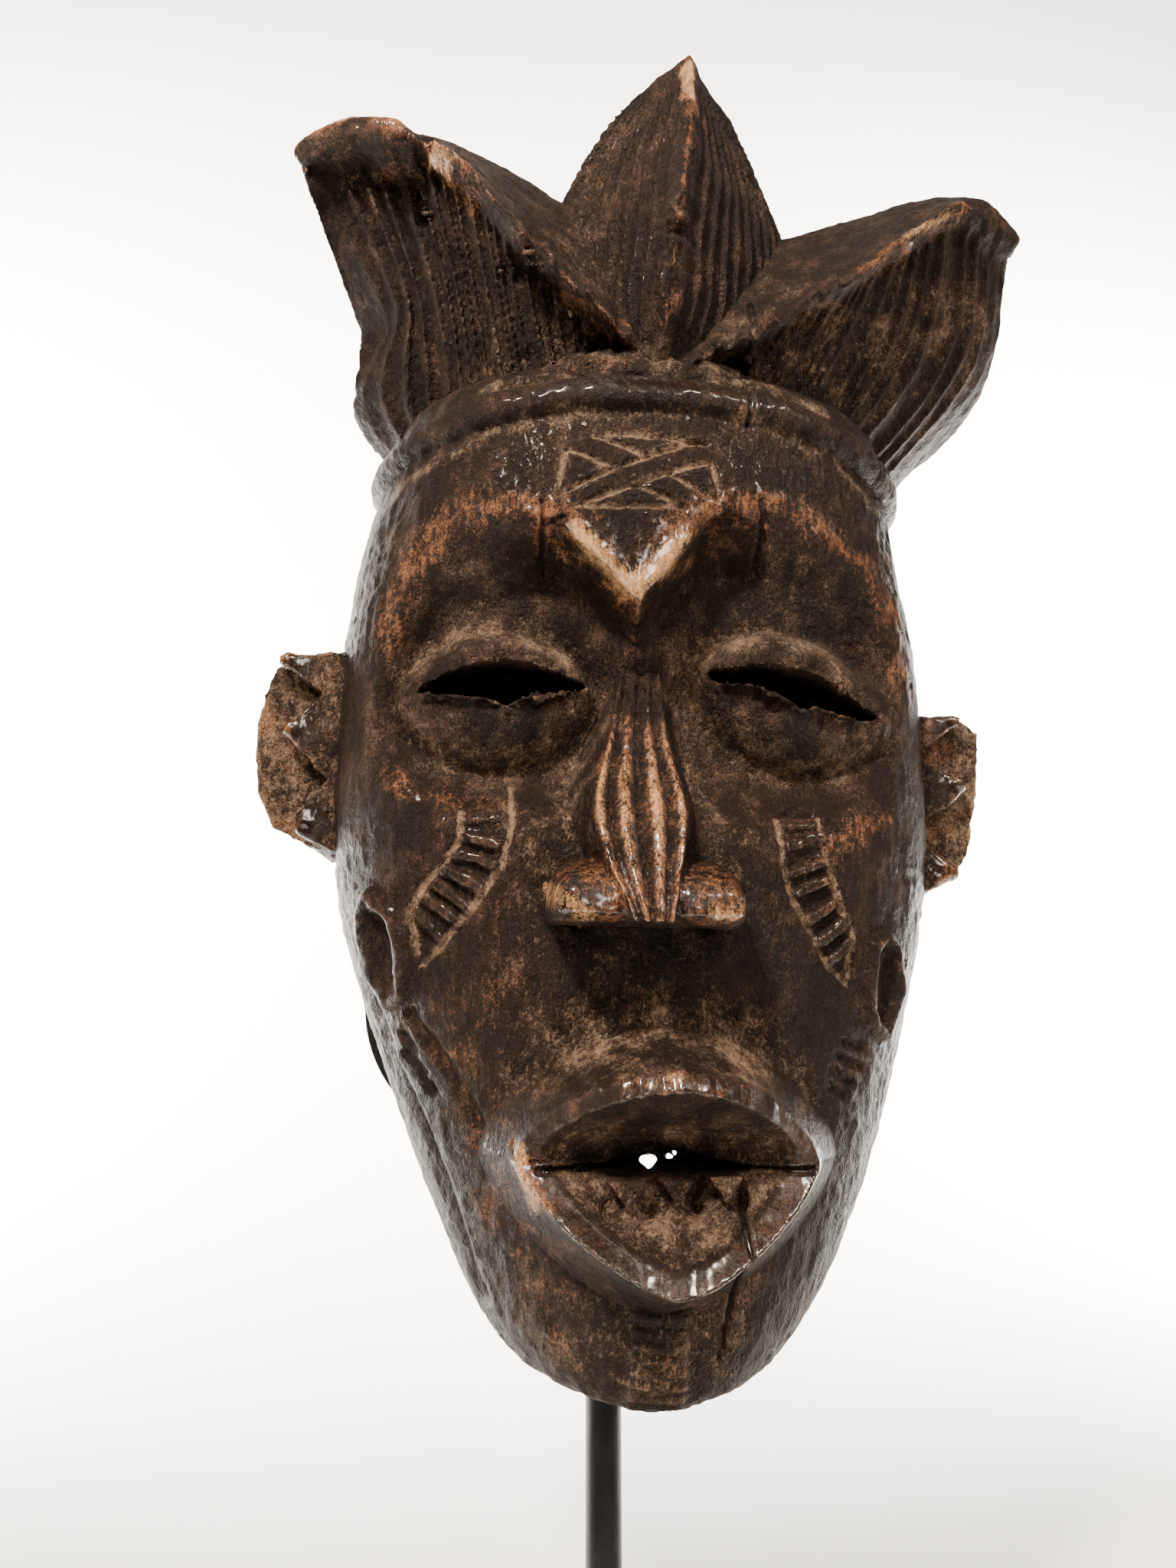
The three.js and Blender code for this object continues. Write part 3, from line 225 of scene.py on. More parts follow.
# Chip-carved marks on the face, and cracks as (path, reach, depth)
SIGN = [
    [(-13.4, 196), (8.6, 194.9)], [(-16.1, 195.2), (-5, 190.9)], [(-22.3, 192.1), (-13.3, 188)],
    [(-22.3, 192.1), (-24.1, 180.8)], [(-24.1, 180.8), (-7, 189.7), (5, 194.6), (8.6, 194.9)],
    [(-20, 178.1), (0.7, 187.5), (9.2, 190.1)], [(9.9, 189.8), (11.3, 183.8), (10.6, 181.5)],
    [(-17.3, 178.3), (3.5, 179.4)], [(-7.7, 184), (3.5, 179.4)], [(0.1, 186.9), (10.6, 181.5)],
]
LADDERS = [
    {"inner": [(-31.2, 117.5), (-30.8, 109.2), (-32.9, 100.3), (-37.3, 93.1), (-43.2, 85.2), (-48, 79.7)],
     "outer": [(-41.6, 111.4), (-41.7, 105.7), (-43.9, 101.7), (-48.4, 96.2), (-51.4, 90.6), (-49.4, 82)],
     "rungs": [((-40.8, 110.6), (-33.6, 110.8)), ((-41, 106.1), (-34.2, 104.6)),
               ((-42.4, 102.5), (-34.4, 100.3)), ((-44.2, 99), (-37, 95.5)), ((-45.6, 95.8), (-39.5, 91.5)),
               ((-47.9, 93.1), (-41.7, 88.4)), ((-49.7, 90.2), (-45.1, 85.2))]},
    {"inner": [(25.6, 112.6), (26.1, 103.2), (28.2, 95.2), (31.6, 89.8), (35.9, 82), (40.4, 78.1)],
     "outer": [(34.8, 112.8), (36.1, 105.3), (38.9, 95.7), (42.4, 87.8), (41, 80)],
     "rungs": [((27, 111.5), (33.3, 111.8)), ((27.6, 106.6), (34.5, 109)), ((28.7, 100.9), (35.2, 103.2)),
               ((29.9, 96.9), (36.5, 99.6)), ((32.1, 91.4), (38.7, 95.3)), ((34.6, 86.7), (40.6, 91.4)),
               ((36.8, 82.4), (41.9, 87))]},
]
DROPS = [
    ([(-60.3, 93.5), (-54.6, 88.3), (-52.2, 80.4), (-52, 73.4), (-55, 72), (-59.3, 78.7), (-61.2, 87.6)],
     [(-58, 88), (-56.2, 83), (-56, 77.5)]),
    ([(50.5, 89), (54, 85), (54.8, 76.8), (50.6, 67.6), (46.6, 70.2), (46.2, 78.3), (47.8, 86.4)],
     [(51, 84), (50.4, 78), (49.2, 73)]),
]
LOWER_LIP_CUTS = [[(-9.4, 29.5), (-12, 23)], [(-2.6, 25.5), (-3.4, 19)], [(14.4, 32), (17, 25)],
                  [(4.5, 25.5), (5, 19)], [(-17.5, 35.5), (-21, 31)]]
CHEEK_CUTS = [((-52, 65.5), (-49, 62)), ((-50.5, 61.5), (-47, 58)), ((-48.5, 57.5), (-45, 54)),
              ((40, 66), (45.5, 65)), ((38.5, 63), (44.5, 61)), ((37.5, 60), (42.5, 57.5)),
              ((37, 57), (40.5, 55))]
LIP_ARC = [(-28.3, 58), (-19.4, 66), (-11.9, 72), (-7.3, 75), (-0.3, 75.6), (8.3, 73.5), (19.5, 67),
           (27.8, 61.5), (33, 54)]
JAW_EDGES = [[(-61, 76), (-54, 60), (-46.5, 46), (-40.8, 33), (-35.7, 19.2), (-32.5, 11.1)],
             [(-50.4, 69.5), (-39.6, 56.2), (-35.4, 48.8)]]
CRACKS = [
    ([(-27.3, 179.6), (-26.6, 172.5), (-25.7, 166)], 0.5, 1.2), ([(-26.2, 174.6), (-21.9, 176)], 0.4, 0.7),
    ([(21.3, 183), (22.2, 175.8), (21.6, 169)], 0.5, 1.2),
    ([(18.6, 212), (18.9, 205), (18.1, 201)], 0.5, 1.4),
    ([(15.9, 40), (15.4, 33), (15.6, 26.1), (15.8, 20), (14.6, 14.3), (13.1, 5.6)], 0.5, 1.3),
]
CREST_CRACK = [(21.5, 238), (20.6, 226), (18.6, 208)]
CUT_WANDER, STROKE_WANDER = 0.35, 1.3

# Depth, or height, and reach of each kind of mark
SIGN_CUT, RAIL_CUT, CHEEK_CUT, LOWER_LIP_CUT = (1.0, 0.95), (1.0, 1.3), (1.3, 1.4), (0.15, 1.6)
SLIT_END_CUT, LIP_ARC_CUT, JAW_CUT = (1.8, 1.0), (1.1, 3.6), (1.5, 1.8)
LADDER_BED, RUNG_RISE, LIP_RIDGE = (1.1, 5.6), (1.5, 1.6), (0.45, 1.6)
DROP_RIM, DROP_HOLLOW = (2.0, 2.4), (1.5, 3.0)


# Plain maths on arrays
def smooth(start, end, value):
    t = np.clip((value - start) / (end - start), 0, 1)
    return t * t * (3 - 2 * t)


def bump(distance, reach):
    q = distance / reach
    return np.where(np.abs(q) < 1, (1 - q * q) ** 2, 0)


def course(stations, place):
    """Value at each place of a smooth course through (place, value) stations, flat beyond its ends."""
    at = np.array([s[0] for s in stations], float)
    value = np.array([s[1] for s in stations], float)
    place = np.clip(np.asarray(place, float), at[0], at[-1])
    i = np.clip(np.searchsorted(at, place, side="right") - 1, 0, len(at) - 2)
    rise = np.diff(value) / np.diff(at)
    before, after = rise[:-1], rise[1:]
    together = np.where(before + after == 0, 1, before + after)
    inner = np.where(before * after <= 0, 0, 2 * before * after / together)
    start_slope = np.concatenate([[rise[0]], inner])[i]
    end_slope = np.concatenate([inner, [rise[-1]]])[i]
    span = at[i + 1] - at[i]
    t = (place - at[i]) / span
    return (value[i] * (1 + 2 * t) * (1 - t) ** 2 + start_slope * span * t * (1 - t) ** 2
            + value[i + 1] * t * t * (3 - 2 * t) + end_slope * span * t * t * (t - 1))


def on_rail(rail, t):
    """Points on a rail of (place, x, depth, height) stations."""
    return np.stack([course([(s[0], s[k]) for s in rail], t) for k in (1, 2, 3)], -1)


def chance(i, j, k, seed):
    """A fixed number from 0 to 1 for each cell of a lattice."""
    h = (i.astype(np.uint32) * np.uint32(374761393) + j.astype(np.uint32) * np.uint32(668265263)
         + k.astype(np.uint32) * np.uint32(2246822519) + np.uint32(seed * 3266489917 % 4294967296))
    h = (h ^ (h >> np.uint32(13))) * np.uint32(1274126177)
    h = (h ^ (h >> np.uint32(15))) * np.uint32(2654435761)
    return (h ^ (h >> np.uint32(16))).astype(np.float64) / 4294967295.0


def noise(points, size, seed):
    """Smooth noise from -1 to 1 at each point, with lumps of a given size."""
    q = points / np.asarray(size, float)
    cell = np.floor(q).astype(np.int64)
    t = q - cell
    t = t * t * (3 - 2 * t)
    total = np.zeros(len(q))
    for corner in range(8):
        offset = np.array([corner & 1, corner >> 1 & 1, corner >> 2 & 1])
        weight = np.prod(np.where(offset, t, 1 - t), axis=1)
        total += weight * chance(*(cell + offset).T, seed)
    return total * 2 - 1


def scallops(points, size, seed):
    """Square of the distance to the nearest gouge cut: 0 in its middle, larger on the ridges between cuts."""
    q = points / np.asarray(size, float)
    cell = np.floor(q).astype(np.int64)
    nearest = np.full(len(q), 9.0)
    for corner in range(27):
        place = cell + np.array([corner % 3 - 1, corner // 3 % 3 - 1, corner // 9 - 1])
        spot = place + np.stack([chance(*place.T, seed + k) for k in range(3)], -1)
        nearest = np.minimum(nearest, ((q - spot) ** 2).sum(1))
    return nearest


# Forms of the face
def shell_depth(x, z):
    """Depth of the head's plain front, before any carving."""
    front = course(FRONT, z)
    widest = np.minimum(WIDEST_DEPTH, front - FRONT_OVER_SIDES)
    s = np.clip(np.abs(x - course(SIDE_SHIFT, z)) / course(HALF_WIDTH, z), 0, 1)
    power = course(SQUARENESS, z)
    return widest + (front - widest) * (1 - s ** power) ** (1 / power)


def cup_place(x, z):
    """Place in the mouth's outline: 0 at its middle, 1 on the edge of the lips."""
    upper = z > MOUTH_Z
    power = np.where(upper, MOUTH_POWER_UP, MOUTH_POWER_DOWN)
    dx = np.abs(x - MOUTH_X) / MOUTH_WIDE
    dz = np.abs(z - MOUTH_Z) / np.where(upper, MOUTH_UP, MOUTH_DOWN)
    return (dx ** power + dz ** power) ** (1 / power)


def brow_drop(x, z):
    """How far a point is below the brow's edge."""
    return np.interp(x, *zip(*BROW_EDGE)) - z


def carve(x, z, plain):
    """Depth of the carved front, given the plain shell's depth there."""
    side = np.abs(x - FACE_AXIS)
    near_centre = 1 - smooth(*CENTRE_REACH, side)
    below = brow_drop(x, z)
    orbit = ORBIT_OUTER_DEPTH + (ORBIT_DEPTH - ORBIT_OUTER_DEPTH) * (1 - smooth(*ORBIT_REACH, side))
    cheek = CHEEK_LINE + CHEEK_RISE * smooth(*CHEEK_SIDES, side)
    level = smooth(cheek - CHEEK_SLOPE, cheek + CHEEK_EDGE, z) * (1 - smooth(*TEMPLE, side))
    depth = plain - orbit * smooth(-1, ORBIT_SLOPE - CENTRE_STEEPNESS * near_centre, below) * level
    depth += WEDGE_LIP * bump(below + WEDGE_LIP_RISE, WEDGE_LIP_REACH) * near_centre
    depth -= (WEDGE_STEP * smooth(*WEDGE_STEP_START, below) * (1 - smooth(*WEDGE_STEP_END, below))
              * near_centre * smooth(*WEDGE_TIP, z))
    depth -= (INNER_CORNER["depth"] * bump(side - INNER_CORNER["side"], INNER_CORNER["wide"])
              * bump(z - INNER_CORNER["z"], INNER_CORNER["high"]))
    depth += (CREASE["proud"] * bump(x - CREASE["x"], CREASE["wide"]) * smooth(*CREASE["start"], z)
              * (1 - smooth(*CREASE["end"], z)))
    return depth - CUP_RECESS * (1 - smooth(*CUP_EDGE, cup_place(x, z)))


def face_depth(x, z):
    """Depth of the carved front at a place of the face."""
    return carve(x, z, shell_depth(x, z))


def band_level(x):
    """Height of the headband's middle, which falls towards the sides of the head."""
    return BAND_LEVEL - BAND_SIDE_DROP * np.clip(np.abs(x) / BAND_SIDE, 0, 1) ** BAND_BOW


def skin(x, z):
    """How far the headband and the chin strip stand out of the face."""
    q = np.clip(np.abs(z - band_level(x)) / BAND_HALF, 0, 1)
    proud = BAND_PROUD * np.sqrt(1 - q * q)
    inside = (z < CHIN_STRIP["top"]) & (z > CHIN_STRIP["bottom"])
    strip = 1 - smooth(CHIN_STRIP["half"] - 1, CHIN_STRIP["half"], np.abs(x - CHIN_STRIP["x"]))
    return proud + np.where(inside, CHIN_STRIP["proud"] * strip, 0)


def shell_loops(heights, columns, wall_steps, inset=0, setback=0):
    """Level sections of the head, or of its hollow, from the left rim round the front to the right rim."""
    z = heights[:, None]
    half = course(HALF_WIDTH, z) - inset
    shift = course(SIDE_SHIFT, z)
    front = course(FRONT, z) - setback
    rim = np.full_like(z, HOLLOW_BACK) if inset else course(RIM, z)
    widest = np.minimum(WIDEST_DEPTH, front - FRONT_OVER_SIDES)
    power = course(SQUARENESS, z)
    s = np.sin(columns)[None, :]
    bend = np.maximum(0, 1 - np.abs(s) ** power) ** (1 / power)
    x = half * s + shift
    depth = widest + (front - widest) * bend
    level = np.broadcast_to(z, x.shape).copy()
    proud_side = 0
    if not inset:
        nx = np.sign(s) * np.abs(s) ** (power - 1) / half
        nf = bend ** (power - 1) / (front - widest)
        length = np.hypot(nx, nf)
        proud = skin(x, level)
        depth = face_depth(x, level) + nf / length * proud
        x = x + nx / length * proud
        proud_side = skin(half, z)
    else:
        depth = np.minimum(depth, face_depth(x, level) - WALL)
    t = np.arange(wall_steps)[None, :] / wall_steps
    wall_depth = rim + (widest - rim) * t
    out = half * (1 - REAR_NARROWING * (1 - t)) + proud_side
    wall_level = np.broadcast_to(z, out.shape)
    left = np.stack([shift - out, wall_depth, wall_level], -1)
    right = np.stack([shift + out, wall_depth, wall_level], -1)[:, ::-1]
    return np.concatenate([left, np.stack([x, depth, level], -1), right], 1)


def mouth_loops():
    """Lips: rings from behind the face, up the flank, over the rim's facets and down into the cup."""
    angle = 2 * np.pi * (np.arange(MOUTH_SIDES) + 0.5) / MOUTH_SIDES
    c, d = np.cos(angle), np.sin(angle)
    upper = d > 0
    power = np.where(upper, MOUTH_POWER_UP, MOUTH_POWER_DOWN)
    across, along = np.abs(c) ** (2 / power), np.abs(d) ** (2 / power)
    reach = np.where(upper, MOUTH_UP, MOUTH_DOWN)
    middle = np.minimum(1, along * 1.6)
    edge = LIP_DEPTH - LIP_CORNER_DROP * across ** 1.6
    outer_edge = edge - np.where(upper, UPPER_FACETS, 0) * middle
    inner_edge = edge - np.where(upper, 0, LOWER_FACETS) * middle
    bevel_wide = 1 - (1 - LIP_BEVEL) * BEVEL_PINCH

    def ring(m, outward):
        wide = 1 - (1 - m) * BEVEL_PINCH if m > LIP_BEVEL else bevel_wide * m / LIP_BEVEL
        x = MOUTH_X + np.sign(c) * (MOUTH_WIDE * wide * across + outward * np.abs(c))
        z = MOUTH_Z + np.sign(d) * (reach * m * along + outward * np.abs(d))
        return x, z

    def placed(x, depth, z):
        return np.stack([x, depth, z], -1)

    x, z = ring(1, LIP_ROOT_SPREAD)
    loops = [placed(x, LIP_BACK + 0 * x, z)]
    for part in np.linspace(1, FLANK_END, 16):
        out = np.where(upper, LIP_FALL * FLANK_UP * part ** 1.3,
                       LIP_SWELL + LIP_FALL * FLANK_DOWN * part ** 1.3)
        x, z = ring(1, out)
        base = face_depth(x, z) - LIP_SUNK
        eased = np.where(upper, part, part ** 0.6)
        loops.append(placed(x, outer_edge + (base - outer_edge) * eased, z))
    for m in np.linspace(1, LIP_BEVEL, 8):
        x, z = ring(m, 0)
        slope = (1 - m) / (1 - LIP_BEVEL)
        rise = np.where(upper, UPPER_FACETS * slope ** 0.8, -LOWER_FACETS * slope)
        loops.append(placed(x, outer_edge + rise * middle, z))
    for m in np.linspace(LIP_BEVEL, CUP_END, 34)[1:]:
        x, z = ring(m, 0)
        share = (m / LIP_BEVEL) ** np.where(upper, 1.3, 0.75)
        loops.append(placed(x, SLIT_DEPTH + (inner_edge - SLIT_DEPTH) * share, z))
    return np.array(loops)


def eye_loops(eye):
    """Domed lids: rings from an oval on the face up to a raised lip round the slit."""
    turns = np.arange(EYE_SIDES) / EYE_SIDES
    angle = 2 * np.pi * np.arange(EYE_SIDES) / EYE_SIDES
    tilt = math.radians(eye["tilt"])
    c, s = math.cos(tilt), math.sin(tilt)
    along, across = eye["wide"] * np.cos(angle), eye["high"] * np.sin(angle)
    outer = np.stack([eye["x"] + along * c - across * s, eye["z"] + along * s + across * c], -1)
    slit = np.array(closed(eye["slit"]), float)
    length = np.concatenate([[0], np.cumsum(np.hypot(*np.diff(slit, axis=0).T))])
    corner = int(np.argmax(slit[:-1, 0]))
    place = (length[corner] / length[-1] - turns) % 1 * length[-1]
    inner = np.stack([np.interp(place, length, slit[:, k]) for k in (0, 1)], -1)

    def ring(t, lift):
        x, z = (outer + (inner - outer) * t).T
        return np.stack([x, face_depth(x, z) + lift, z], -1)

    foot = ring(0, 0)
    x, z = inner.mean(0)
    foot[:, 1] = face_depth(np.array([x]), np.array([z])) - EYE_FOOT
    loops = [foot, ring(0, -LID_SUNK)]
    for t in np.linspace(0.04, 1, 26):
        dome = EYE_BULGE * (1 - (1 - t) ** 2) ** 0.8
        loops.append(ring(t, dome + LID_LIP * bump(t - LID_LIP_PLACE, LID_LIP_REACH)))
    middle = loops[-1].mean(0)
    loops.append(middle + (loops[-1] - middle) * 0.5)
    return np.array(loops)


def flute_lift(q):
    """Course across the nose's front: 0 on its ridges, -1 in the middle of its flutes."""
    return -np.abs(np.interp(q, *zip(*FLUTES))) ** FLUTE_ROUNDNESS


def nose_loops():
    """Level slices of the nose, with four ridges and shallow flutes between them, cut off flat below."""
    q = np.linspace(-1, 1, 97)
    lift = flute_lift(q)
    flank = np.linspace(0, 1, 14)[:-1]
    loops = []
    for row in np.concatenate([[NOSE_BOTTOM + NOSE_CUT], np.linspace(NOSE_BOTTOM + 1, NOSE_TOP, 110)]):
        axis, half, top = (float(course(k, row)) for k in (NOSE_AXIS, NOSE_HALF, NOSE_RIDGE))
        base = float(face_depth(np.array([axis]), np.array([row]))[0]) - NOSE_SUNK
        out = half + max(0, top - base) / float(course(NOSE_SIDE_SLOPE, row))
        side = half + (out - half) * (1 - flank) ** 1.15
        side_depth = base + (top - base) * flank ** 0.85
        fade = smooth(NOSE_TOP, NOSE_TOP - FLUTE_FADE, row)
        ridge = np.stack([axis + q * half, top + FLUTE_DEPTH * lift * fade, np.full_like(q, row)], -1)
        left = np.stack([axis - side, side_depth, np.full_like(side, row)], -1)
        right = np.stack([axis + side, side_depth, np.full_like(side, row)], -1)[::-1]
        loops.append(np.concatenate([left, ridge, right]))
    return np.array(loops)


def wing_loops(wing):
    """Nostril pads: level slices, full below and rounded off above, cut flat at the bottom."""
    across, forward, upward = WING_ROUNDNESS
    bottom = NOSE_BOTTOM + WING_CUT
    angle = np.linspace(np.pi, 0, 61)
    round_x = np.sign(np.cos(angle)) * np.abs(np.cos(angle)) ** across
    round_f = np.sin(angle).clip(0) ** forward
    loops = []
    for share in np.linspace(0, 0.995, 40):
        size = (1 - share ** upward) ** 0.5 * (0.9 + 0.1 * smooth(0, 0.14, share))
        loops.append(np.stack([wing["x"] + wing["wide"] * size * round_x,
                               WING_ROOT + (wing["depth"] - WING_ROOT) * size * round_f,
                               np.full_like(angle, bottom + (wing["top"] - bottom) * share)], -1))
    return np.array(loops)


def prism_loops(outline, start, end, growth=1.0, drift=(0, 0)):
    """A straight block with a given outline at its front end, grown or moved sideways at its rear end."""
    outline = np.array(outline, float)
    centre = outline.mean(0)
    rear = centre + (outline - centre) * growth + drift
    return np.array([np.column_stack([rear[:, 0], np.full(len(rear), start), rear[:, 1]]),
                     np.column_stack([outline[:, 0], np.full(len(rear), end), outline[:, 1]])])


def closed(path):
    return path + path[:1]


def finer(outline, steps=3):
    """The same outline with more points along its sides."""
    points = np.array(closed(outline), float)
    return [tuple(a + (b - a) * k / steps) for a, b in zip(points, points[1:]) for k in range(steps)]


# Forms of the crest
def groove_profile(turns):
    """From 0 on the narrow ridges to 1 in the wide, rounded troughs."""
    return np.abs(np.sin(np.pi * turns)) ** 0.8


def swell(belly, lobe, s):
    """How far a blade's front bulges sideways at a share of the way from its ridge to its root."""
    return belly * np.sin(np.pi * s ** BELLY_SKEW) + lobe * bump(s - LOBE_PLACE, LOBE_REACH)


def side_tuft_loops(tuft):
    """Fanned slices from the middle of the head round to the outer edge of the blade."""
    t = np.linspace(0, 1, tuft["grooves"] * 14 + 1)
    ridge, root, top, heel = (on_rail(tuft[k], t) for k in ("ridge", "root", "top", "heel"))
    wander = 0.35 * noise(np.column_stack([t * 40, 0 * t, 0 * t]), 3, 5)
    cut = (tuft["groove_depth"] * smooth(0, 0.12, t) * (0.1 + 0.9 * smooth(1, 0.85, t))
           * groove_profile(t * tuft["grooves"] + wander))
    belly = tuft["belly"] * smooth(0.45, 1, t)
    lobe = tuft["lobe"] * smooth(0.8, 1, t)
    broken = 1.7 * (1 - smooth(0.3, 0.6, t)) + 0.6
    along = np.column_stack([t * 100, 0 * t, 0 * t])
    notch = tuft["notch_depth"] * bump(t - tuft["notch"], NOTCH_REACH)
    ragged = np.column_stack([0 * t, 0.8 * broken * noise(along, 2.6, 14) - notch,
                              broken * noise(along, 3.2, 13) - notch])
    face = []
    for s in np.linspace(0, 1, 60):
        hollow = tuft["hollow"] * (4 * s * (1 - s)) * (1 - smooth(0.5, 1, t))
        under = smooth(0.03, 0.1, s)
        point = ridge + (root - ridge) * s
        point[:, 0] += swell(belly, lobe, s)
        point[:, 1] -= hollow + cut * 0.8 * under + tuft["undercut"] * under * (1 - s) ** 2
        point[:, 2] += cut * 0.3 * under
        face.append(point + ragged * max(0, 1 - s / 0.12) ** 1.5)
    inner = np.column_stack([root[:, 0] * 0.8, root[:, 1] - 10, root[:, 2] - 8])
    back = top - np.column_stack([tuft["back_inset"] * t, tuft["back_slope"] + 0 * t, 6 + 0 * t])
    loops = face + [inner] + between(inner, heel, 5) + [heel] + between(heel, back, 12) + [back] + [top]
    loops += [point + ragged * (k / 12) ** 6 for k, point in enumerate(between(top, ridge, 12))]
    return np.stack(loops, 1)


def edge_bead_loops(tuft):
    """A rounded bead that runs down the outer edge of a blade, from its tip to its root."""
    ridge, root = (on_rail(tuft[k], np.ones(1))[0] for k in ("ridge", "root"))
    turn = 2 * np.pi * np.arange(20) / 20
    loops = []
    for s in np.linspace(0.02, 0.8, 44):
        centre = ridge + (root - ridge) * s
        centre[0] += swell(tuft["belly"], tuft["lobe"], s) - BEAD_INWARD
        centre[1] -= BEAD_BACK
        size = BEAD_RADIUS * smooth(0, 0.04, s - 0.01) * smooth(0.82, 0.7, s)
        section = np.column_stack([np.cos(turn), 1.6 * np.sin(turn), -0.45 * np.cos(turn)])
        loops.append(centre + size * section)
    return np.array(loops)


def mound_loops():
    """Rounded boss where the three tufts meet above the headband."""
    (x, depth, level), (wide, thick, high) = MOUND_PLACE, MOUND_HALF
    turn = 2 * np.pi * np.arange(64) / 64
    share = np.linspace(-0.99, 0.99, 30)[:, None]
    size = np.sqrt(1 - share ** 2)
    return np.stack([x + wide * size * np.cos(turn), depth + thick * size * np.sin(turn),
                     np.broadcast_to(level + high * share, (30, 64))], -1)


def between(start, end, count):
    """Rows of points evenly spaced between two others."""
    return [start + (end - start) * (k + 1) / (count + 1) for k in range(count)]


def middle_tuft_loops(tuft):
    """Level slices from the head up to the tip, with grooves running up both front faces."""
    t = np.linspace(0, 1, 150)
    ridge, left, right, back = (on_rail(tuft[k], t) for k in ("ridge", "left", "right", "back"))
    broken = 1.3 * (1 - smooth(0.4, 0.6, t)) + 0.3
    along = np.column_stack([t * 100, 0 * t, 0 * t])
    worn = 1.5 * smooth(0.4, 0.34, t) * smooth(0.1, 0.2, t)
    ragged = np.column_stack([broken * noise(along, 3.5, 15) - worn,
                              0.8 * broken * noise(along, 2.8, 16) - 2.2 * bump(t - 0.39, 0.025), 0 * t])
    loop = []
    for edge, order in ((right, np.linspace(0, 1, 90)), (left, np.linspace(1, 0, 90))):
        face = []
        for s in order[1:-1]:
            puff = tuft["puff"] * 0.5 * (4 * s * (1 - s)) * (1 - t)
            wander = 0.3 * noise(np.column_stack([t * 30, 0 * t + s * 4, 0 * t]), 4, 9)
            cut = tuft["groove_depth"] * (1 - smooth(0.9, 1, t)) * smooth(0.04, 0.16, s) * smooth(1, 0.9, s)
            point = ridge + (edge - ridge) * s
            point[:, 1] += puff - cut * groove_profile(s * tuft["grooves"] + wander)
            face.append(point + ragged * max(0, 1 - s / 0.15) ** 1.5)
        sign = 1 if edge is right else -1
        level = back[:, 2] - (edge[:, 2] + back[:, 2]) / 2
        corner = (edge + back) * 0.5 + np.column_stack([sign * 3 * (1 - t), -2 + 0 * t, level])
        if edge is right:
            loop += [ridge + ragged] + face + [edge] + between(edge, corner, 8) + [corner]
            loop += between(corner, back, 6) + [back]
        else:
            loop += between(back, corner, 6) + [corner] + between(corner, edge, 8) + [edge] + face
    return np.stack(loop, 1)


# Meshes from the forms
def loft(name, loops):
    """Closed mesh through equal loops of (x, depth, height), with its end loops capped."""
    loops = np.asarray(loops, float)
    count, around = loops.shape[:2]
    points = np.vstack([loops.reshape(-1, 3), loops[[0, -1]].mean(1)])
    points = points * (1, -1, 1)
    row, column = np.meshgrid(np.arange(count - 1), np.arange(around), indexing="ij")
    a = (row * around + column).ravel()
    b = (row * around + (column + 1) % around).ravel()
    step = np.arange(around)
    turned = (step + 1) % around
    last = (count - 1) * around
    triangles = np.vstack([
        np.column_stack([a, b, b + around]), np.column_stack([a, b + around, a + around]),
        np.column_stack([np.full(around, count * around), turned, step]),
        np.column_stack([np.full(around, count * around + 1), last + step, last + turned])])
    corners = points[triangles]
    volume = np.einsum("ij,ij->", corners[:, 0], np.cross(corners[:, 1], corners[:, 2]))
    if volume < 0:
        triangles = triangles[:, ::-1]
    return mesh_object(name, points, triangles)


def in_scene(name, data):
    made = bpy.data.objects.new(name, data)
    bpy.context.scene.collection.objects.link(made)
    return made


def mesh_object(name, points, triangles):
    mesh = bpy.data.meshes.new(name)
    mesh.from_pydata(points.tolist(), [], triangles.tolist())
    return in_scene(name, mesh)


def points_of(mesh):
    flat = np.zeros(len(mesh.vertices) * 3)
    mesh.vertices.foreach_get("co", flat)
    return flat.reshape(-1, 3)


def set_points(mesh, points):
    mesh.vertices.foreach_set("co", points.ravel())
    mesh.update()


def shade_smooth(mesh):
    mesh.polygons.foreach_set("use_smooth", np.ones(len(mesh.polygons), bool))
    mesh.update()


def write_paint(mesh, paint):
    """Keeps layers of paint, from 0 to 1 at each point, as attributes of a mesh."""
    for name, values in paint.items():
        layer = mesh.attributes.new(name, "FLOAT", "POINT")
        layer.data.foreach_set("value", np.clip(values, 0, 1).astype(np.float32))


def settle(piece):
    """Applies a piece's modifiers to its mesh."""
    bpy.context.view_layer.update()
    graph = bpy.context.evaluated_depsgraph_get()
    result = piece.evaluated_get(graph)
    mesh = bpy.data.meshes.new_from_object(result, preserve_all_data_layers=True, depsgraph=graph)
    old = piece.data
    piece.modifiers.clear()
    piece.data = mesh
    bpy.data.meshes.remove(old)
    return piece


def joined(piece, others, operation):
    """Joins closed solids to a piece, or cuts them out of it, and removes them."""
    for other in others:
        step = piece.modifiers.new("join", "BOOLEAN")
        step.operation = operation
        step.solver = "MANIFOLD"
        step.object = other
    settle(piece)
    for other in others:
        bpy.data.objects.remove(other)
    return piece


def even_facets(piece, size):
    """Covers a rough solid with even facets of a given size."""
    step = piece.modifiers.new("facets", "REMESH")
    step.mode = "VOXEL"
    step.voxel_size = size
    step.use_smooth_shade = True
    return settle(piece)


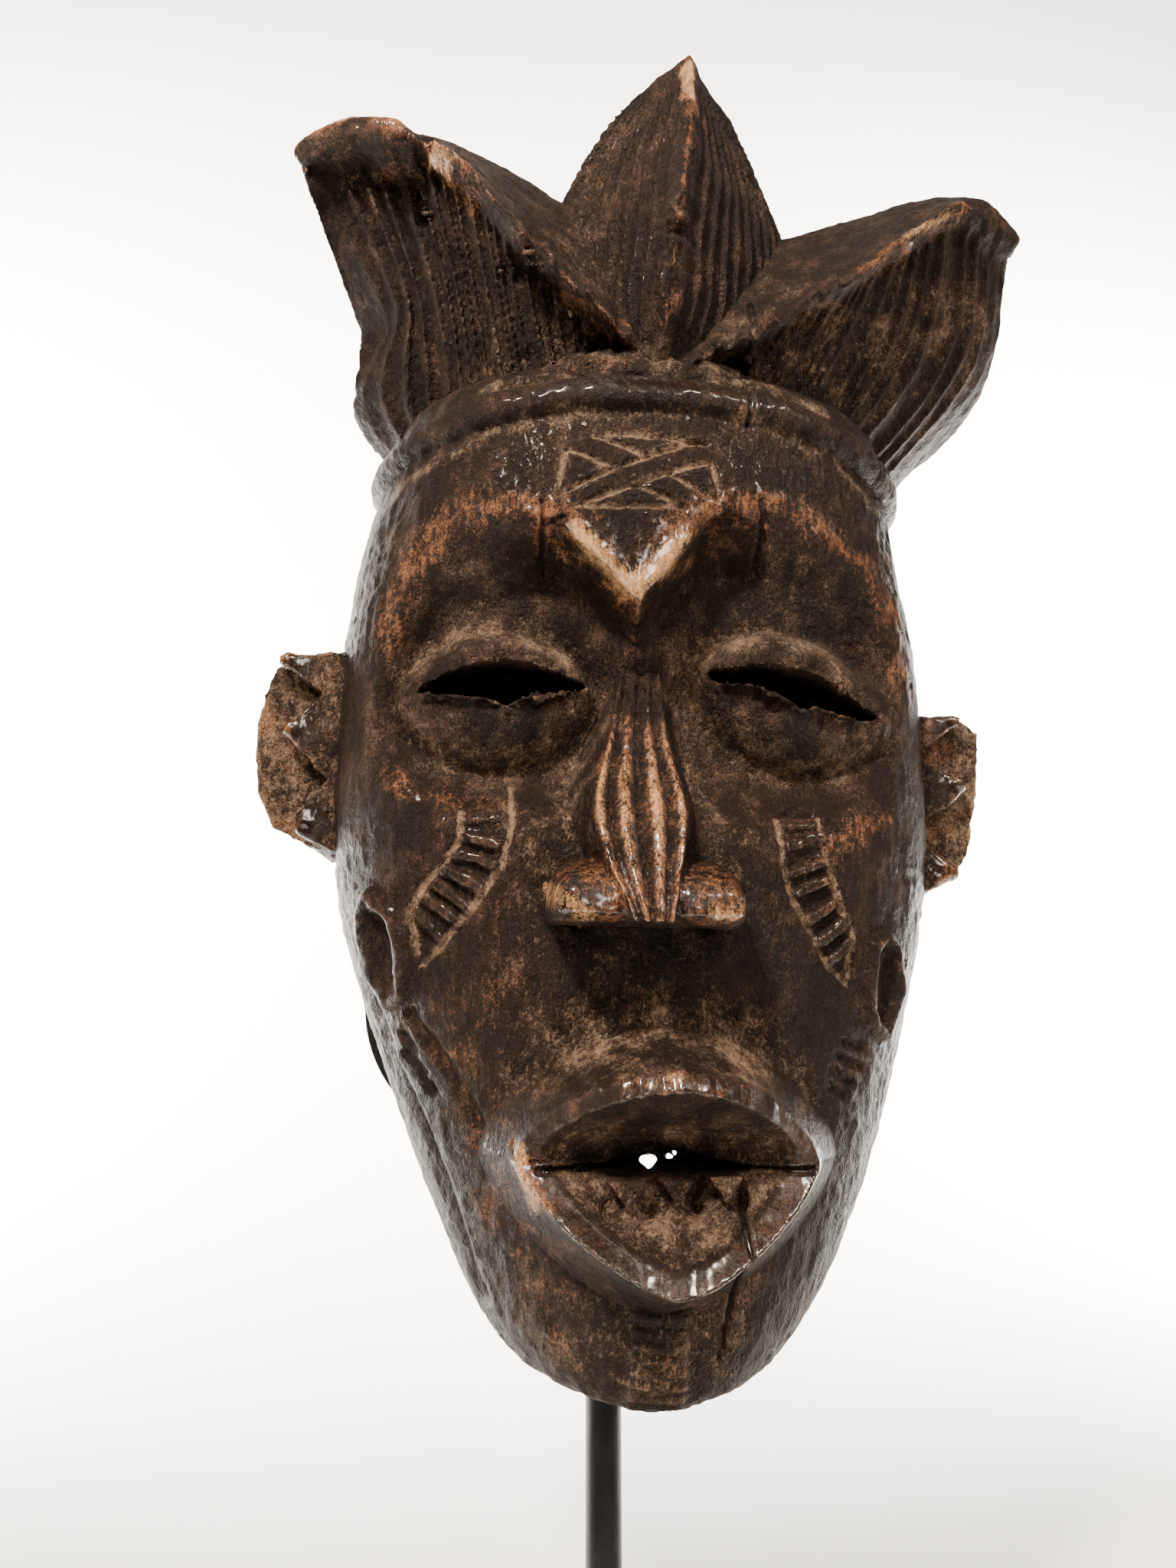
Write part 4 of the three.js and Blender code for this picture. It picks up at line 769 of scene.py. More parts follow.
class Surface:
    """The points of an evenly faceted piece, in the mask's frame, with their normals and neighbours."""

    def __init__(self, piece):
        self.piece = piece
        mesh = piece.data
        self.points = points_of(mesh) * (1, -1, 1)
        edges = np.zeros(len(mesh.edges) * 2, np.int64)
        mesh.edges.foreach_get("vertices", edges)
        self.edges = edges.reshape(-1, 2)
        self.meetings = np.bincount(edges, minlength=len(self.points)).astype(float)
        corners = np.zeros(len(mesh.loops), np.int64)
        mesh.loops.foreach_get("vertex_index", corners)
        self.faces = corners.reshape(-1, 4)
        self.paint = {}
        self.wander = 0.0
        self.wobble = np.stack([noise(self.points, 5.5, seed) for seed in (21, 22)], -1)
        self.refresh()

    def refresh(self):
        """Works out the normals again after the points have moved."""
        a, b, c, d = (self.points[self.faces[:, k]] for k in range(4))
        facing = np.cross(d - b, c - a)
        total = np.stack([np.bincount(self.faces.ravel(), np.repeat(facing[:, k], 4), len(self.points))
                          for k in range(3)], -1)
        self.normals = total / np.maximum(np.linalg.norm(total, axis=1, keepdims=True), 1e-9)

    def averaged(self, times):
        """The points, averaged with their neighbours a number of times."""
        points, count = self.points, len(self.points)
        a, b = self.edges.T
        for _ in range(times):
            mean = np.stack([np.bincount(a, points[b, k], count) + np.bincount(b, points[a, k], count)
                             for k in range(3)], -1) / self.meetings[:, None]
            points = (points + mean) / 2
        return points

    def soften(self, times):
        self.points = self.averaged(times)
        self.refresh()

    def raise_by(self, height):
        """Moves each point along its normal."""
        self.points = self.points + self.normals * height[:, None]
        self.refresh()

    def curvature(self, times):
        """How far each point stands out of its surroundings, in millimetres."""
        return ((self.points - self.averaged(times)) * self.normals).sum(1)

    def near(self, path, reach):
        """Share of closeness to a path of (x, height) points: 1 on it, 0 at its reach and beyond."""
        x, z = (self.points[:, ::2] + self.wander * self.wobble).T
        path = np.array(path, float)
        low, high = path.min(0) - reach, path.max(0) + reach
        index = np.flatnonzero((x > low[0]) & (x < high[0]) & (z > low[1]) & (z < high[1]) & self.front)
        place = np.column_stack([x[index], z[index]])
        distance = np.full(len(index), np.inf)
        for a, b in zip(path, path[1:]):
            along = b - a
            t = np.clip((place - a) @ along / max(along @ along, 1e-9), 0, 1)
            distance = np.minimum(distance, np.hypot(*(place - a - t[:, None] * along).T))
        share = np.zeros(len(x))
        share[index] = np.clip(1 - distance / reach, 0, 1)
        return share

    def groove(self, path, depth, reach, power=1):
        """A pointed cut along a path, deepest on it."""
        return depth * self.near(path, reach) ** power

    def bed(self, path, depth, reach, edge=(0, 0.7)):
        """A flat-bottomed cut or patch along a path."""
        return depth * smooth(*edge, self.near(path, reach))

    def bead(self, path, height, reach):
        """A rounded bead along a path."""
        return height * bump(self.near(path, reach) - 1, 1)

    def spot(self, x, z, wide, high):
        """Share of closeness to a point, inside an oval."""
        q = np.hypot((self.points[:, 0] - x) / wide, (self.points[:, 2] - z) / high)
        return np.clip(1 - q, 0, 1) * self.front

    def lay(self, layer, share):
        """Adds paint to a layer where it has less."""
        self.paint[layer] = np.maximum(self.paint[layer], share)

    def write(self):
        write_paint(self.piece.data, self.paint)
        set_points(self.piece.data, self.points * (1, -1, 1))


def thin_out(piece, triangles, unseen, seam=None):
    """Keeps fewer, larger facets where the surface is plain, and first where it is hardly seen."""
    now = sum(len(face.vertices) - 2 for face in piece.data.polygons)
    if now > triangles:
        step = piece.modifiers.new("thin", "DECIMATE")
        step.ratio = triangles / now
        step.use_collapse_triangulate = True
        group = piece.vertex_groups.new(name="unseen")
        for marked, share in ((~unseen, 0.05), (unseen, 1.0)):
            group.add(np.flatnonzero(marked).tolist(), share, "REPLACE")
        if seam is not None:
            group.remove(np.flatnonzero(seam).tolist())
        step.vertex_group = "unseen"
        step.vertex_group_factor = 0.02
        settle(piece)
        piece.vertex_groups.clear()
    return piece


def halves(surface, level, names):
    """Two pieces that meet at a level of the head, each with its own facets and paint."""
    made = []
    centres = surface.points[surface.faces].mean(1)[:, 2]
    for name, kept in zip(names, (centres < level, centres >= level)):
        faces = surface.faces[kept]
        used = np.unique(faces)
        place = np.full(len(surface.points), -1)
        place[used] = np.arange(len(used))
        half = mesh_object(name, surface.points[used] * (1, -1, 1), place[faces])
        write_paint(half.data, {layer: values[used] for layer, values in surface.paint.items()})
        seam = np.isin(used, np.intersect1d(surface.faces[~kept], used))
        made.append((half, surface.unseen[used], seam))
    return made


def place_in_frame(piece):
    """Puts a piece's mesh from the mask's frame, in millimetres, into the shared frame, in metres."""
    x, y, z = points_of(piece.data).T
    c, s = math.cos(LEAN), math.sin(LEAN)
    placed = (np.column_stack([x * c + z * s, y, z * c - x * s]) + CHIN_PLACE) * MM
    low, high = np.array(CAD_BOX[0]) + BOX_MARGIN, np.array(CAD_BOX[1]) - BOX_MARGIN
    set_points(piece.data, np.clip(placed, low, high))
    shade_smooth(piece.data)
    return piece


def hollow_tool():
    """The hollow behind the face, as a solid to cut away."""
    heights = np.linspace(HOLLOW_BOTTOM, HOLLOW_TOP, 60)
    columns = np.linspace(-np.pi / 2, np.pi / 2, 60)
    setback = course(HOLLOW_SETBACK, heights)[:, None]
    return loft("hollow", shell_loops(heights, columns, 6, WALL, setback))


def hole_tools():
    """The two spots at the bottom of the mouth that let light through, as solids to cut away."""
    return [loft("hole", prism_loops(hole, HOLE_BACK, HOLE_FRONT, 1.4, HOLE_DRIFT)) for hole in MOUTH_HOLES]


def worked(piece, facet, carving, rough, softened):
    """Evens out the facets of a rough solid, then carves, weathers and paints its surface."""
    even_facets(piece, facet)
    surface = Surface(piece)
    surface.soften(softened)
    carving(surface)
    work_wood(surface, rough)
    paint_wood(surface)
    return surface


def finish_piece(piece, carving, facet, triangles, rough):
    """Works a rough solid's surface, thins out its facets and puts it in its place."""
    surface = worked(piece, facet, carving, rough, 1)
    surface.write()
    return place_in_frame(thin_out(piece, triangles, surface.unseen))


def face_front(surface):
    """Marks the points that belong to the front of the head, where the carving goes."""
    x, f, z = surface.points.T
    surface.front = (surface.normals[:, 1] > 0.02) & (f > face_depth(x, z) - 4) & (f > 20)
    surface.unseen = (surface.normals[:, 1] < -0.3) | (f < 25)


def face_pieces():
    """The head from chin to headband, a hollow shell with domed eyes, in two pieces that meet at a seam."""
    heights = np.linspace(SHELL_BOTTOM, SHELL_TOP, 300)
    columns = np.linspace(-np.pi / 2, np.pi / 2, 260)
    head = loft("carved_face", shell_loops(heights, columns, 26))
    joined(head, [loft("eye", eye_loops(eye)) for eye in EYES], "UNION")
    angle = np.linspace(0, 2 * np.pi, 60, endpoint=False)
    under_lips = np.column_stack([MOUTH_X + 0.8 * MOUTH_WIDE * np.cos(angle),
                                  MOUTH_Z - UNDER_LIPS_DROP + UNDER_LIPS_HALF * np.sin(angle)])
    cuts = [hollow_tool(), loft("lips", prism_loops(under_lips, LIP_BACK + 2, CUT_FRONT)), *hole_tools()]
    cuts += [loft("slit", prism_loops(eye["slit"], EYE_CUT_BACK, CUT_FRONT, 1.2)) for eye in EYES]
    joined(head, cuts, "DIFFERENCE")
    surface = worked(head, FACE_FACET, carve_head, FACE_ROUGH, 2)
    made = [place_in_frame(thin_out(half, FACE_TRIANGLES, unseen, seam))
            for half, unseen, seam in halves(surface, FACE_SEAM, ("carved_jaw", "carved_brow"))]
    bpy.data.objects.remove(head)
    return made


def nose_piece():
    """The fluted nose with its two nostril wings."""
    nose = loft("carved_nose", nose_loops())
    joined(nose, [loft("wing", wing_loops(wing)) for wing in WINGS], "UNION")
    return finish_piece(nose, carve_head, *NOSE_WORK)


def mouth_piece():
    """The flared lips with their pointed teeth, cut through by a slit."""
    mouth = loft("carved_mouth", mouth_loops())
    half, up, down = TOOTH_HALF, TOOTH_UP, TOOTH_DOWN
    joined(mouth, [loft("tooth", prism_loops([(x - half, z + up), (x, z - down), (x + half, z + up)],
                                             depth - TOOTH_BACK, depth + TOOTH_FRONT, 1.5))
                   for x, z, depth in TEETH], "UNION")
    slit = loft("slit", prism_loops(finer(MOUTH_SLIT), *SLIT_CUT, 0.9))
    joined(mouth, [slit, *hole_tools()], "DIFFERENCE")
    return finish_piece(mouth, carve_head, *MOUTH_WORK)


def ear_piece(name, ear):
    """A flat ear with a raised strip along the head, cut into three pointed teeth."""
    plate = loft(name, prism_loops(finer(ear["outline"]), EAR_DEPTH - EAR_THICK, EAR_DEPTH, 0.96))
    bottom, top = EAR_DEPTH - STRIP_SUNK, EAR_DEPTH + EAR_STRIP
    joined(plate, [loft("strip", prism_loops(finer(ear["strip"], 4), bottom, top, 1.1))], "UNION")
    joined(plate, [hollow_tool()], "DIFFERENCE")

    def carve_ear(surface):
        surface.front = surface.normals[:, 1] > -0.1
        surface.unseen = surface.normals[:, 1] < -0.3
        inside = np.clip((surface.points[:, 1] - EAR_DEPTH) / EAR_STRIP, 0, 1)
        height = 0.8 * noise(surface.points, 7, 81) * (1 - inside)
        for tip in ear["tips"]:
            height += 1.2 * surface.spot(*tip, 7, 7) * smooth(0.4, 0.9, inside)
        surface.raise_by(height * surface.front)

    return finish_piece(plate, carve_ear, *EAR_WORK)


def carve_head(surface):
    """Chip cuts, ladders, drops, teeth, lip facets and cracks of the face."""
    face_front(surface)
    height = np.zeros(len(surface.points))
    surface.wander = CUT_WANDER
    for line in SIGN:
        height -= surface.groove(line, *SIGN_CUT, 0.8)
    for ladder in LADDERS:
        centre = [((a[0] + b[0]) / 2, (a[1] + b[1]) / 2) for a, b in ladder["rungs"]]
        height -= surface.bed(centre, *LADDER_BED, (0.12, 0.4))
        for rail in (ladder["inner"], ladder["outer"]):
            height -= surface.groove(rail, *RAIL_CUT)
        for rung in ladder["rungs"]:
            height += surface.bed(rung, *RUNG_RISE, (0, 0.5))
    for rim, hollow in DROPS:
        height += surface.bead(closed(rim), *DROP_RIM) - surface.bed(hollow, *DROP_HOLLOW)
    for cut in CHEEK_CUTS:
        height -= surface.groove(cut, *CHEEK_CUT)
    for x, z, depth in TEETH:
        for side in (-TOOTH_GAP, TOOTH_GAP):
            height -= 2.4 * smooth(0, 0.7, surface.spot(x + side, z - 2, 2.6, 2.8))
    for x, z in UPPER_TEETH:
        height += 1.2 * surface.spot(x, z + 1, 1.8, 2.4)
    for x in LIP_RIDGES:
        share = 1 - (abs(x - MOUTH_X) / MOUTH_WIDE) ** MOUTH_POWER_UP
        crest = MOUTH_Z + MOUTH_UP * share ** (1 / MOUTH_POWER_UP)
        height += surface.groove([(x, crest - 4), (x * 1.04, crest + 0.8)], *LIP_RIDGE)
    for path in LOWER_LIP_CUTS:
        height -= surface.groove(path, *LOWER_LIP_CUT)
    for path in SLIT_ENDS:
        height -= surface.groove(path, *SLIT_END_CUT)
    height -= surface.groove(LIP_ARC, *LIP_ARC_CUT, 1.5)
    for edge in JAW_EDGES:
        height -= surface.groove(edge, *JAW_CUT)
    for level in np.arange(CHIN_STRIP["bottom"] + 1.2, CHIN_STRIP["top"] + 4, CHIN_STRIP["rungs_apart"]):
        depth = 1.0 - 0.55 * float(smooth(4, 12, level))
        arc = [(CHIN_STRIP["x"] + dx, level + 0.02 * dx * dx) for dx in (-5.4, -2.5, 0, 2.5, 5.4)]
        height -= surface.groove(arc, 0.8 * depth, 1.2)
    for path, reach, depth in CRACKS:
        height -= surface.groove(path, depth, reach + 0.4, 0.7)
    torn = np.maximum(0, noise(surface.points, 2.4, 91)) + 0.4 * np.maximum(0, noise(surface.points, 1.3, 92))
    for eye in EYES:
        height -= 1.6 * torn * surface.bed(closed(eye["slit"]), 1, 3.4, (0, 0.6))
        for x, z in eye["torn"]:
            height -= 1.1 * smooth(0, 0.8, surface.spot(x, z, 6, 3.4)) * (0.6 + torn)
    surface.wander = 0.0
    surface.raise_by(height)


def work_wood(surface, rough):
    """Gouge marks, fibres, dents and chipped edges all over the wood."""
    p = surface.points
    cuts = scallops(p, (6, 6, 10), 31)
    small_cuts = scallops(p, (2.6, 2.6, 4.5), 33)
    fibres = noise(p, (1.3, 1.3, 7), 41)
    crust = noise(p, 1.5, 43)
    lumps = noise(p, 9, 51)
    dents = np.maximum(0, noise(p, 3.2, 61) - 0.4)
    edge = smooth(0.12, 0.5, surface.curvature(6))
    chips = edge * np.maximum(0, noise(p, 2.4, 71))
    height = (0.4 * (cuts - 0.25) + 0.26 * (small_cuts - 0.25) + 0.12 * fibres + 0.17 * crust + 0.2 * lumps
              - 0.55 * dents - 1.1 * chips)
    surface.raise_by(rough * height)


# Strokes of wear, of dust (in places also painted light), and of dark patches and painted shade: path, reach
# and strength
ORANGE_STROKES = [
    ([(-60, 150), (-56, 163), (-50, 174), (-39, 178.5), (-29, 178.5), (-23.5, 176)], 7, 0.95),
    ([(-21.8, 175), (-14, 167.5), (-7, 160)], 6, 1),
    ([(-7, 160), (0, 171), (5.5, 177), (11.4, 181)], 7.5, 1),
    ([(11.4, 181), (20, 182), (29, 181), (38.4, 178), (49, 172), (55, 162), (59, 146)], 7, 0.9),
    ([(-24, 180), (-8, 172)], 5, 0.6), ([(8, 176), (20, 186), (34, 184)], 8, 0.35),
    ([(-45, 182), (-30, 184)], 8, 0.3), ([(-6.5, 158), (-5.5, 148)], 4, 0.7),
    ([(-56, 118), (-50, 115), (-45, 114)], 6, 0.8), ([(-46, 113.5), (-36, 114)], 3, 0.6),
    ([(36, 106), (44, 110.5), (50, 113)], 5.5, 0.8), ([(42, 104), (38, 96)], 4.5, 0.5),
    ([(-25, 28), (-20, 17), (-16, 7)], 8, 0.6), ([(-30, 48), (-27, 42), (-24, 36)], 3.5, 0.9),
    ([(-48, 76), (-44, 62), (-38, 50)], 4, 0.4), ([(-40, 70), (-36, 50), (-30, 30)], 9, 0.45),
    ([(20, 24), (16, 14), (12, 6)], 7, 0.35), ([(28, 52), (33, 47)], 4, 0.5),
    ([(-30, 92), (-34, 74), (-33, 58)], 9, 0.3), ([(-4, 4), (8, 4)], 6, 0.35),
    ([(-6, 14), (6, 12)], 6, 0.25), ([(-9, 59.5), (14, 58)], 2.6, 0.5),
]
TAN_STROKES = [
    ([(-20, 172.6), (-14, 166.8), (-8, 160.5)], 4.4, 1), ([(-7, 160.5), (-2, 166), (4, 171.5)], 5, 1),
    ([(-28, 46), (-27, 40), (-24.5, 34)], 2.2, 0.85),
    ([(-23.5, 96), (-22, 92), (-16, 90)], 3.4, 0.85), ([(8, 90.5), (12, 91), (15.8, 96)], 3.2, 0.8),
    ([(-9, 58.5), (-2, 60), (6, 58.5)], 1.6, 0.4),
]
# Dust strokes; a few are made stronger to stand in for light, so there they are dust and painted light
DUST_AND_LIGHT_STROKES = [
    ([(-60, 188), (-45, 195), (-29, 199.5), (-5, 201.3), (19, 202), (39, 198), (56, 188)], 2.6, 1),
    ([(-40, 210), (-20, 213.5), (0, 214.5), (22, 214), (40, 210)], 3.5, 0.9),
    ([(-59, 140), (-54, 130), (-45, 124), (-35, 122), (-25, 125), (-17, 132), (-12.6, 139.5)], 7, 0.7),
    ([(7, 141.5), (14, 133), (22, 127), (34, 125.5), (43, 128.5), (50, 134)], 7, 0.7),
    ([(-20, 139), (-16, 130), (-18, 118), (-21, 104)], 5, 0.7),
    ([(9, 139), (8, 128), (11, 114), (14, 103)], 5, 0.65),
    # Upper lids: dust, made stronger as painted light where light from above falls on them
    ([(-56, 143), (-49, 149), (-40, 152), (-30, 151), (-20, 147)], 6.5, 1),
    ([(8, 148), (16, 153), (25, 154.5), (34, 151), (44, 144)], 6.5, 0.9), (LIP_ARC, 6, 0.7),
    # The first stroke, above the upper lip under the nose, is dust made stronger as painted light
    ([(-16, 64), (0, 71), (16, 64)], 12, 0.9), ([(-14, 8), (0, 5), (14, 10)], 12, 0.8),
    ([(-16, 37), (-6, 33), (4, 30), (14, 33), (22, 38)], 11, 0.75), ([(-20, 47.5), (24, 47.5)], 6, 0.7),
    ([(-28, 110), (-26, 90), (-30, 78)], 7, 0.45), ([(18, 112), (20, 92), (26, 80)], 7, 0.45),
    ([(-12, 82), (10, 82)], 9, 0.4), ([(-30, 66), (-20, 76), (0, 80)], 8, 0.35),
    ([(-38, 186), (-14, 200), (30, 194)], 7, 0.3),
]
# Dark strokes into the black layer: painted shade under the nose, in the eye hollows under the brows and
# below the eyes, and darker patches on the cheeks, forehead and jaw
DARK_AND_SHADE_STROKES = [
    ([(22, 94), (30, 80), (34, 66)], 13, 0.75), ([(-53, 108), (-54, 94)], 6, 0.5),
    ([(-40, 96), (-44, 80)], 8, 0.35), ([(-52, 133), (-38, 129), (-24, 132)], 7, 0.45),
    ([(14, 134), (28, 129), (44, 130)], 7, 0.5), ([(-46, 160), (-20, 156)], 8, 0.3),
    ([(14, 160), (44, 158)], 10, 0.6), ([(-7, 152), (-4, 144)], 6, 0.5),
    ([(-10, 176), (-4, 180), (4, 180)], 6, 0.5), ([(-47, 58), (-38, 26)], 7, 0.45),
    ([(38, 52), (33, 22)], 9, 0.5), ([(-10, 80), (10, 80)], 8, 0.4),
]
HEAD_STROKES = {"orange": ORANGE_STROKES, "tan": TAN_STROKES, "dust": DUST_AND_LIGHT_STROKES, "black": DARK_AND_SHADE_STROKES}
SMEARS = [((-42, 160), 20, 13), ((28, 163), 24, 14), ((-34, 128), 24, 10), ((30, 128), 24, 10)]


def stroke_paint(surface, layers):
    """Paints the strokes of each layer, patchy in all but the bare tan ones."""
    surface.wander = STROKE_WANDER
    patchy = 0.72 + 0.28 * noise(surface.points, 4.5, 23)
    for layer, strokes in layers.items():
        broken = 1 if layer == "tan" else patchy
        for path, reach, strength in strokes:
            surface.lay(layer, surface.bed(path, strength * broken, reach * 1.25, (0, 1)))
    surface.wander = 0.0


PAINTED_LAYERS = ("orange", "tan", "dust", "black", "polish", "matte")


def paint_wood(surface):
    """Worn edges and dusty hollows from the shape itself, and empty layers for the rest."""
    fine = surface.curvature(3)
    broad = surface.curvature(24)
    surface.paint = {name: np.zeros(len(fine)) for name in PAINTED_LAYERS}
    surface.paint["worn"] = smooth(0.02, 0.2, fine) * 0.6 + smooth(0.2, 1.0, broad) * 0.6
    surface.paint["sunk"] = smooth(0.02, 0.2, -fine) * 0.55 + smooth(0.15, 0.9, -broad) * 0.6
    PAINTERS[surface.piece.name](surface)


def paint_head(surface):
    """Wear, dust and polish of the face, the nose and the lips, with painted shade and some painted light."""
    x, f, z = surface.points.T
    paint, lay = surface.paint, surface.lay
    face = face_depth(x, z)
    stroke_paint(surface, HEAD_STROKES)
    for line in SIGN + [ladder[rail] for ladder in LADDERS for rail in ("inner", "outer")]:
        lay("dust", surface.bed(line, 1.25, 1.3, (0, 0.8)))
    for rung in [rung for ladder in LADDERS for rung in ladder["rungs"]]:
        lay("tan", surface.bed(rung, 0.3, 1.3))
    for path, reach, _ in CRACKS:
        lay("black", surface.bed(path, 1, reach + 0.3, (0.3, 0.8)))
    # Painted shade: near-black along the ends of the mouth's slit
    for path in SLIT_ENDS:
        lay("black", surface.bed(path, 1, 0.8, (0.2, 0.8)))
    cup = cup_place(x, z)
    # Painted shade: near-black on the walls deep in the mouth's cup, behind the lips
    lay("black", (f < SLIT_DEPTH - 1.5) & (cup < 0.95) & (f > 60))
    facing = smooth(0.3, 0.6, surface.normals[:, 1])
    lips = smooth(0.76, 0.84, cup) * (1 - smooth(1.0, 1.06, cup)) * facing
    for eye in EYES:
        lay("tan", 0.3 * (surface.bed(closed(eye["slit"]), 1, 2.2, (0.1, 0.7)) * (f > face - 1)))
    orbit = smooth(1, 7, brow_drop(x, z)) * smooth(110, 122, z) * surface.front * (np.abs(x - FACE_AXIS) < 60)
    paint["matte"] = np.maximum(orbit, ((cup < 0.76) & surface.front) * 0.9)
    for (sx, sz), wide, high in SMEARS:
        lay("dust", 0.3 * smooth(0, 0.7, surface.spot(sx, sz, wide, high)))
    rubbed = smooth(0.2, 0.9, paint["orange"]) * 0.3
    paint["polish"] = facing * np.maximum(smooth(0.1, 0.7, paint["tan"]), rubbed)
    lay("polish", lips * np.where(z > MOUTH_Z, 0.15 + 0.7 * bump(x - 1, 16), 0.95))
    lay("worn", 0.4 * lips)
    lay("polish", bump(z - band_level(x) - 1, 3.6) * bump(x, 45) * surface.front)


def paint_nose(surface):
    """The face's paint, with wear along the nose's ridges and on the wings."""
    paint_head(surface)
    x, _, z = surface.points.T
    q = (x - course(NOSE_AXIS, z)) / course(NOSE_HALF, z)
    on_top = (np.abs(q) < 1.12) & (surface.normals[:, 1] > 0.25)
    crest = smooth(-0.62, -0.15, flute_lift(q)) * on_top
    middle = smooth(146, 126, z)
    surface.lay("orange", on_top * middle * (0.3 + 0.4 * crest))
    surface.lay("tan", crest * (0.2 + 0.5 * bump(z - 112, 24)))
    surface.lay("polish", crest * middle)
    surface.paint["dust"] *= 1 - 0.6 * crest
    for wing in WINGS:
        place = smooth(0, 0.5, surface.spot(wing["x"], 94, 11, 11))
        surface.lay("orange", 0.6 * place)
        surface.lay("polish", 0.7 * place)


def paint_ear(surface):
    """Dusty plates with worn rims, roots and tips."""
    inside = smooth(0.3, 0.8, (surface.points[:, 1] - EAR_DEPTH) / EAR_STRIP)
    face = surface.front * (surface.normals[:, 1] > 0.4)
    patchy = smooth(-0.4, 0.5, noise(surface.points, 9, 95))
    surface.paint["orange"] = 0.65 * face * (1 - 0.5 * inside) * patchy
    surface.paint["dust"] = 0.75 * face * (1 - 0.3 * inside)
    for ear in EARS:
        for tip in ear["tips"]:
            surface.lay("polish", smooth(0, 0.7, surface.spot(*tip, 7, 7)) * inside)
        surface.lay("tan", surface.bed(ear["outline"], 0.5, 1.6, (0, 0.8)))
        surface.lay("orange", surface.bed(ear["root"], 0.8, 1.6, (0, 0.8)))


def carve_tuft(surface):
    """Cracks, notches and broken tips of the crest, and a rough patch where it grows from the head."""
    x, _, z = surface.points.T
    surface.front = surface.normals[:, 1] > -0.2
    surface.unseen = (surface.normals[:, 1] < -0.35) | (z < 196)
    height = np.zeros(len(x))
    for path, reach, depth in TUFT_CUTS:
        height -= surface.groove(path, depth, reach, 0.8)
    for path, reach, rise in TUFT_BOSSES:
        height += surface.bead(path, rise, reach)
    aside = np.abs(x + 2)
    rough_patch = smooth(235, 216, z) * (aside < 40) * smooth(40, 25, aside)
    height -= 1.5 * rough_patch * np.maximum(0, noise(surface.points, 3.4, 97))
    surface.raise_by(height)


# Cuts and bosses of the crest as (path, reach, depth or height), and its strokes of wear and dust, one dust
# stroke also painted light
TUFT_CUTS = [
    ([(-56, 273), (-58, 266), (-60, 261), (-57, 257)], 2.6, 2.4),
    ([(-86, 268), (-80, 267), (-70, 267.5), (-62, 264)], 2.6, 2.2), (CREST_CRACK, 1.1, 1.8),
    ([(82, 266), (84, 276)], 1.4, 1.0), ([(86, 262), (89, 273)], 1.3, 0.8),
    ([(-30, 238.5), (-36, 240.5)], 3, 1.6), ([(-27, 234), (-20, 229)], 2, 1.2),
    ([(-16, 222), (-8, 217)], 2, 1),
]
TUFT_BOSSES = [([(-84, 275), (-78, 278), (-71, 278), (-66, 273)], 8, 2.6), ([(86, 273), (93, 270)], 6, 1.4)]
TUFT_ORANGE = [
    ([(-84, 279), (-77, 282), (-70, 282), (-65, 275), (-64, 270)], 5.5, 1),
    ([(-56, 267), (-50, 263), (-44, 257)], 4.4, 1), ([(-44, 257), (-36, 247), (-30, 243)], 2.2, 0.75),
    ([(-24, 234), (-17, 227), (-12, 223)], 3, 0.75), ([(-30, 214), (-8, 216)], 5, 0.5),
    ([(24, 228), (34, 235)], 2.4, 0.6), ([(46, 243), (62, 258), (78, 270)], 3, 1),
    ([(80, 273), (93, 271)], 4, 0.65), ([(7, 306), (7, 294), (6, 284)], 3.6, 1),
    ([(5.5, 284), (4, 265), (2, 248)], 2.4, 0.8), ([(1, 243), (0, 224)], 3, 0.6),
    ([(-14, 236), (-8, 224)], 4, 0.6),
]
TUFT_TAN = [
    ([(-78, 281.5), (-71, 282), (-66, 277)], 3.6, 1), ([(-56, 266), (-51, 263)], 2.6, 0.8),
    ([(58, 255), (70, 265)], 2, 0.8), ([(7, 304), (6.6, 290)], 2.6, 1),
]
TUFT_DUST_AND_LIGHT = [
    ([(-42, 219), (-30, 217), (-10, 218)], 5, 0.7), ([(12, 215), (40, 213)], 3.5, 0.6),
    ([(12, 222), (28, 238)], 6, 0.45), ([(-12, 216), (14, 216)], 6, 0.7),
    ([(-14, 288), (-18, 264), (-19, 238)], 11, 0.55), ([(-40, 225), (-16, 224)], 9, 0.45),
    # The broad stroke over the right tuft's face is dust that also lightens it as painted light
    ([(30, 250), (24, 228)], 9, 0.4), ([(36, 222), (56, 232), (80, 246)], 18, 0.7),
    ([(-84, 272), (-66, 272)], 8, 0.4),
]
TUFT_STROKES = {"orange": TUFT_ORANGE, "tan": TUFT_TAN, "dust": TUFT_DUST_AND_LIGHT, "black": [(CREST_CRACK, 0.9, 1)]}


def paint_tuft(surface):
    """Wear along the broken edges of the crest, dust in its grooves, and painted light in a broad dust stroke
    over the right tuft's face.
    """
    stroke_paint(surface, TUFT_STROKES)
    surface.paint["polish"] = np.maximum(surface.paint["tan"] * 0.6, 0.4 * surface.paint["worn"])
    surface.paint["matte"][:] = 0.4


PAINTERS = {
    "carved_face": paint_head, "carved_mouth": paint_head, "carved_nose": paint_nose, "ear_left": paint_ear,
    "ear_right": paint_ear, "crest_left": paint_tuft, "crest_right": paint_tuft, "crest_middle": paint_tuft,
}


def tuft_piece(name, loops, extra=()):
    """A tuft of the crest, joined with its extra forms and cut clear of the hollow behind the face."""
    piece = loft(name, loops)
    joined(piece, list(extra), "UNION")
    joined(piece, [hollow_tool()], "DIFFERENCE")
    return finish_piece(piece, carve_tuft, *TUFT_WORK)


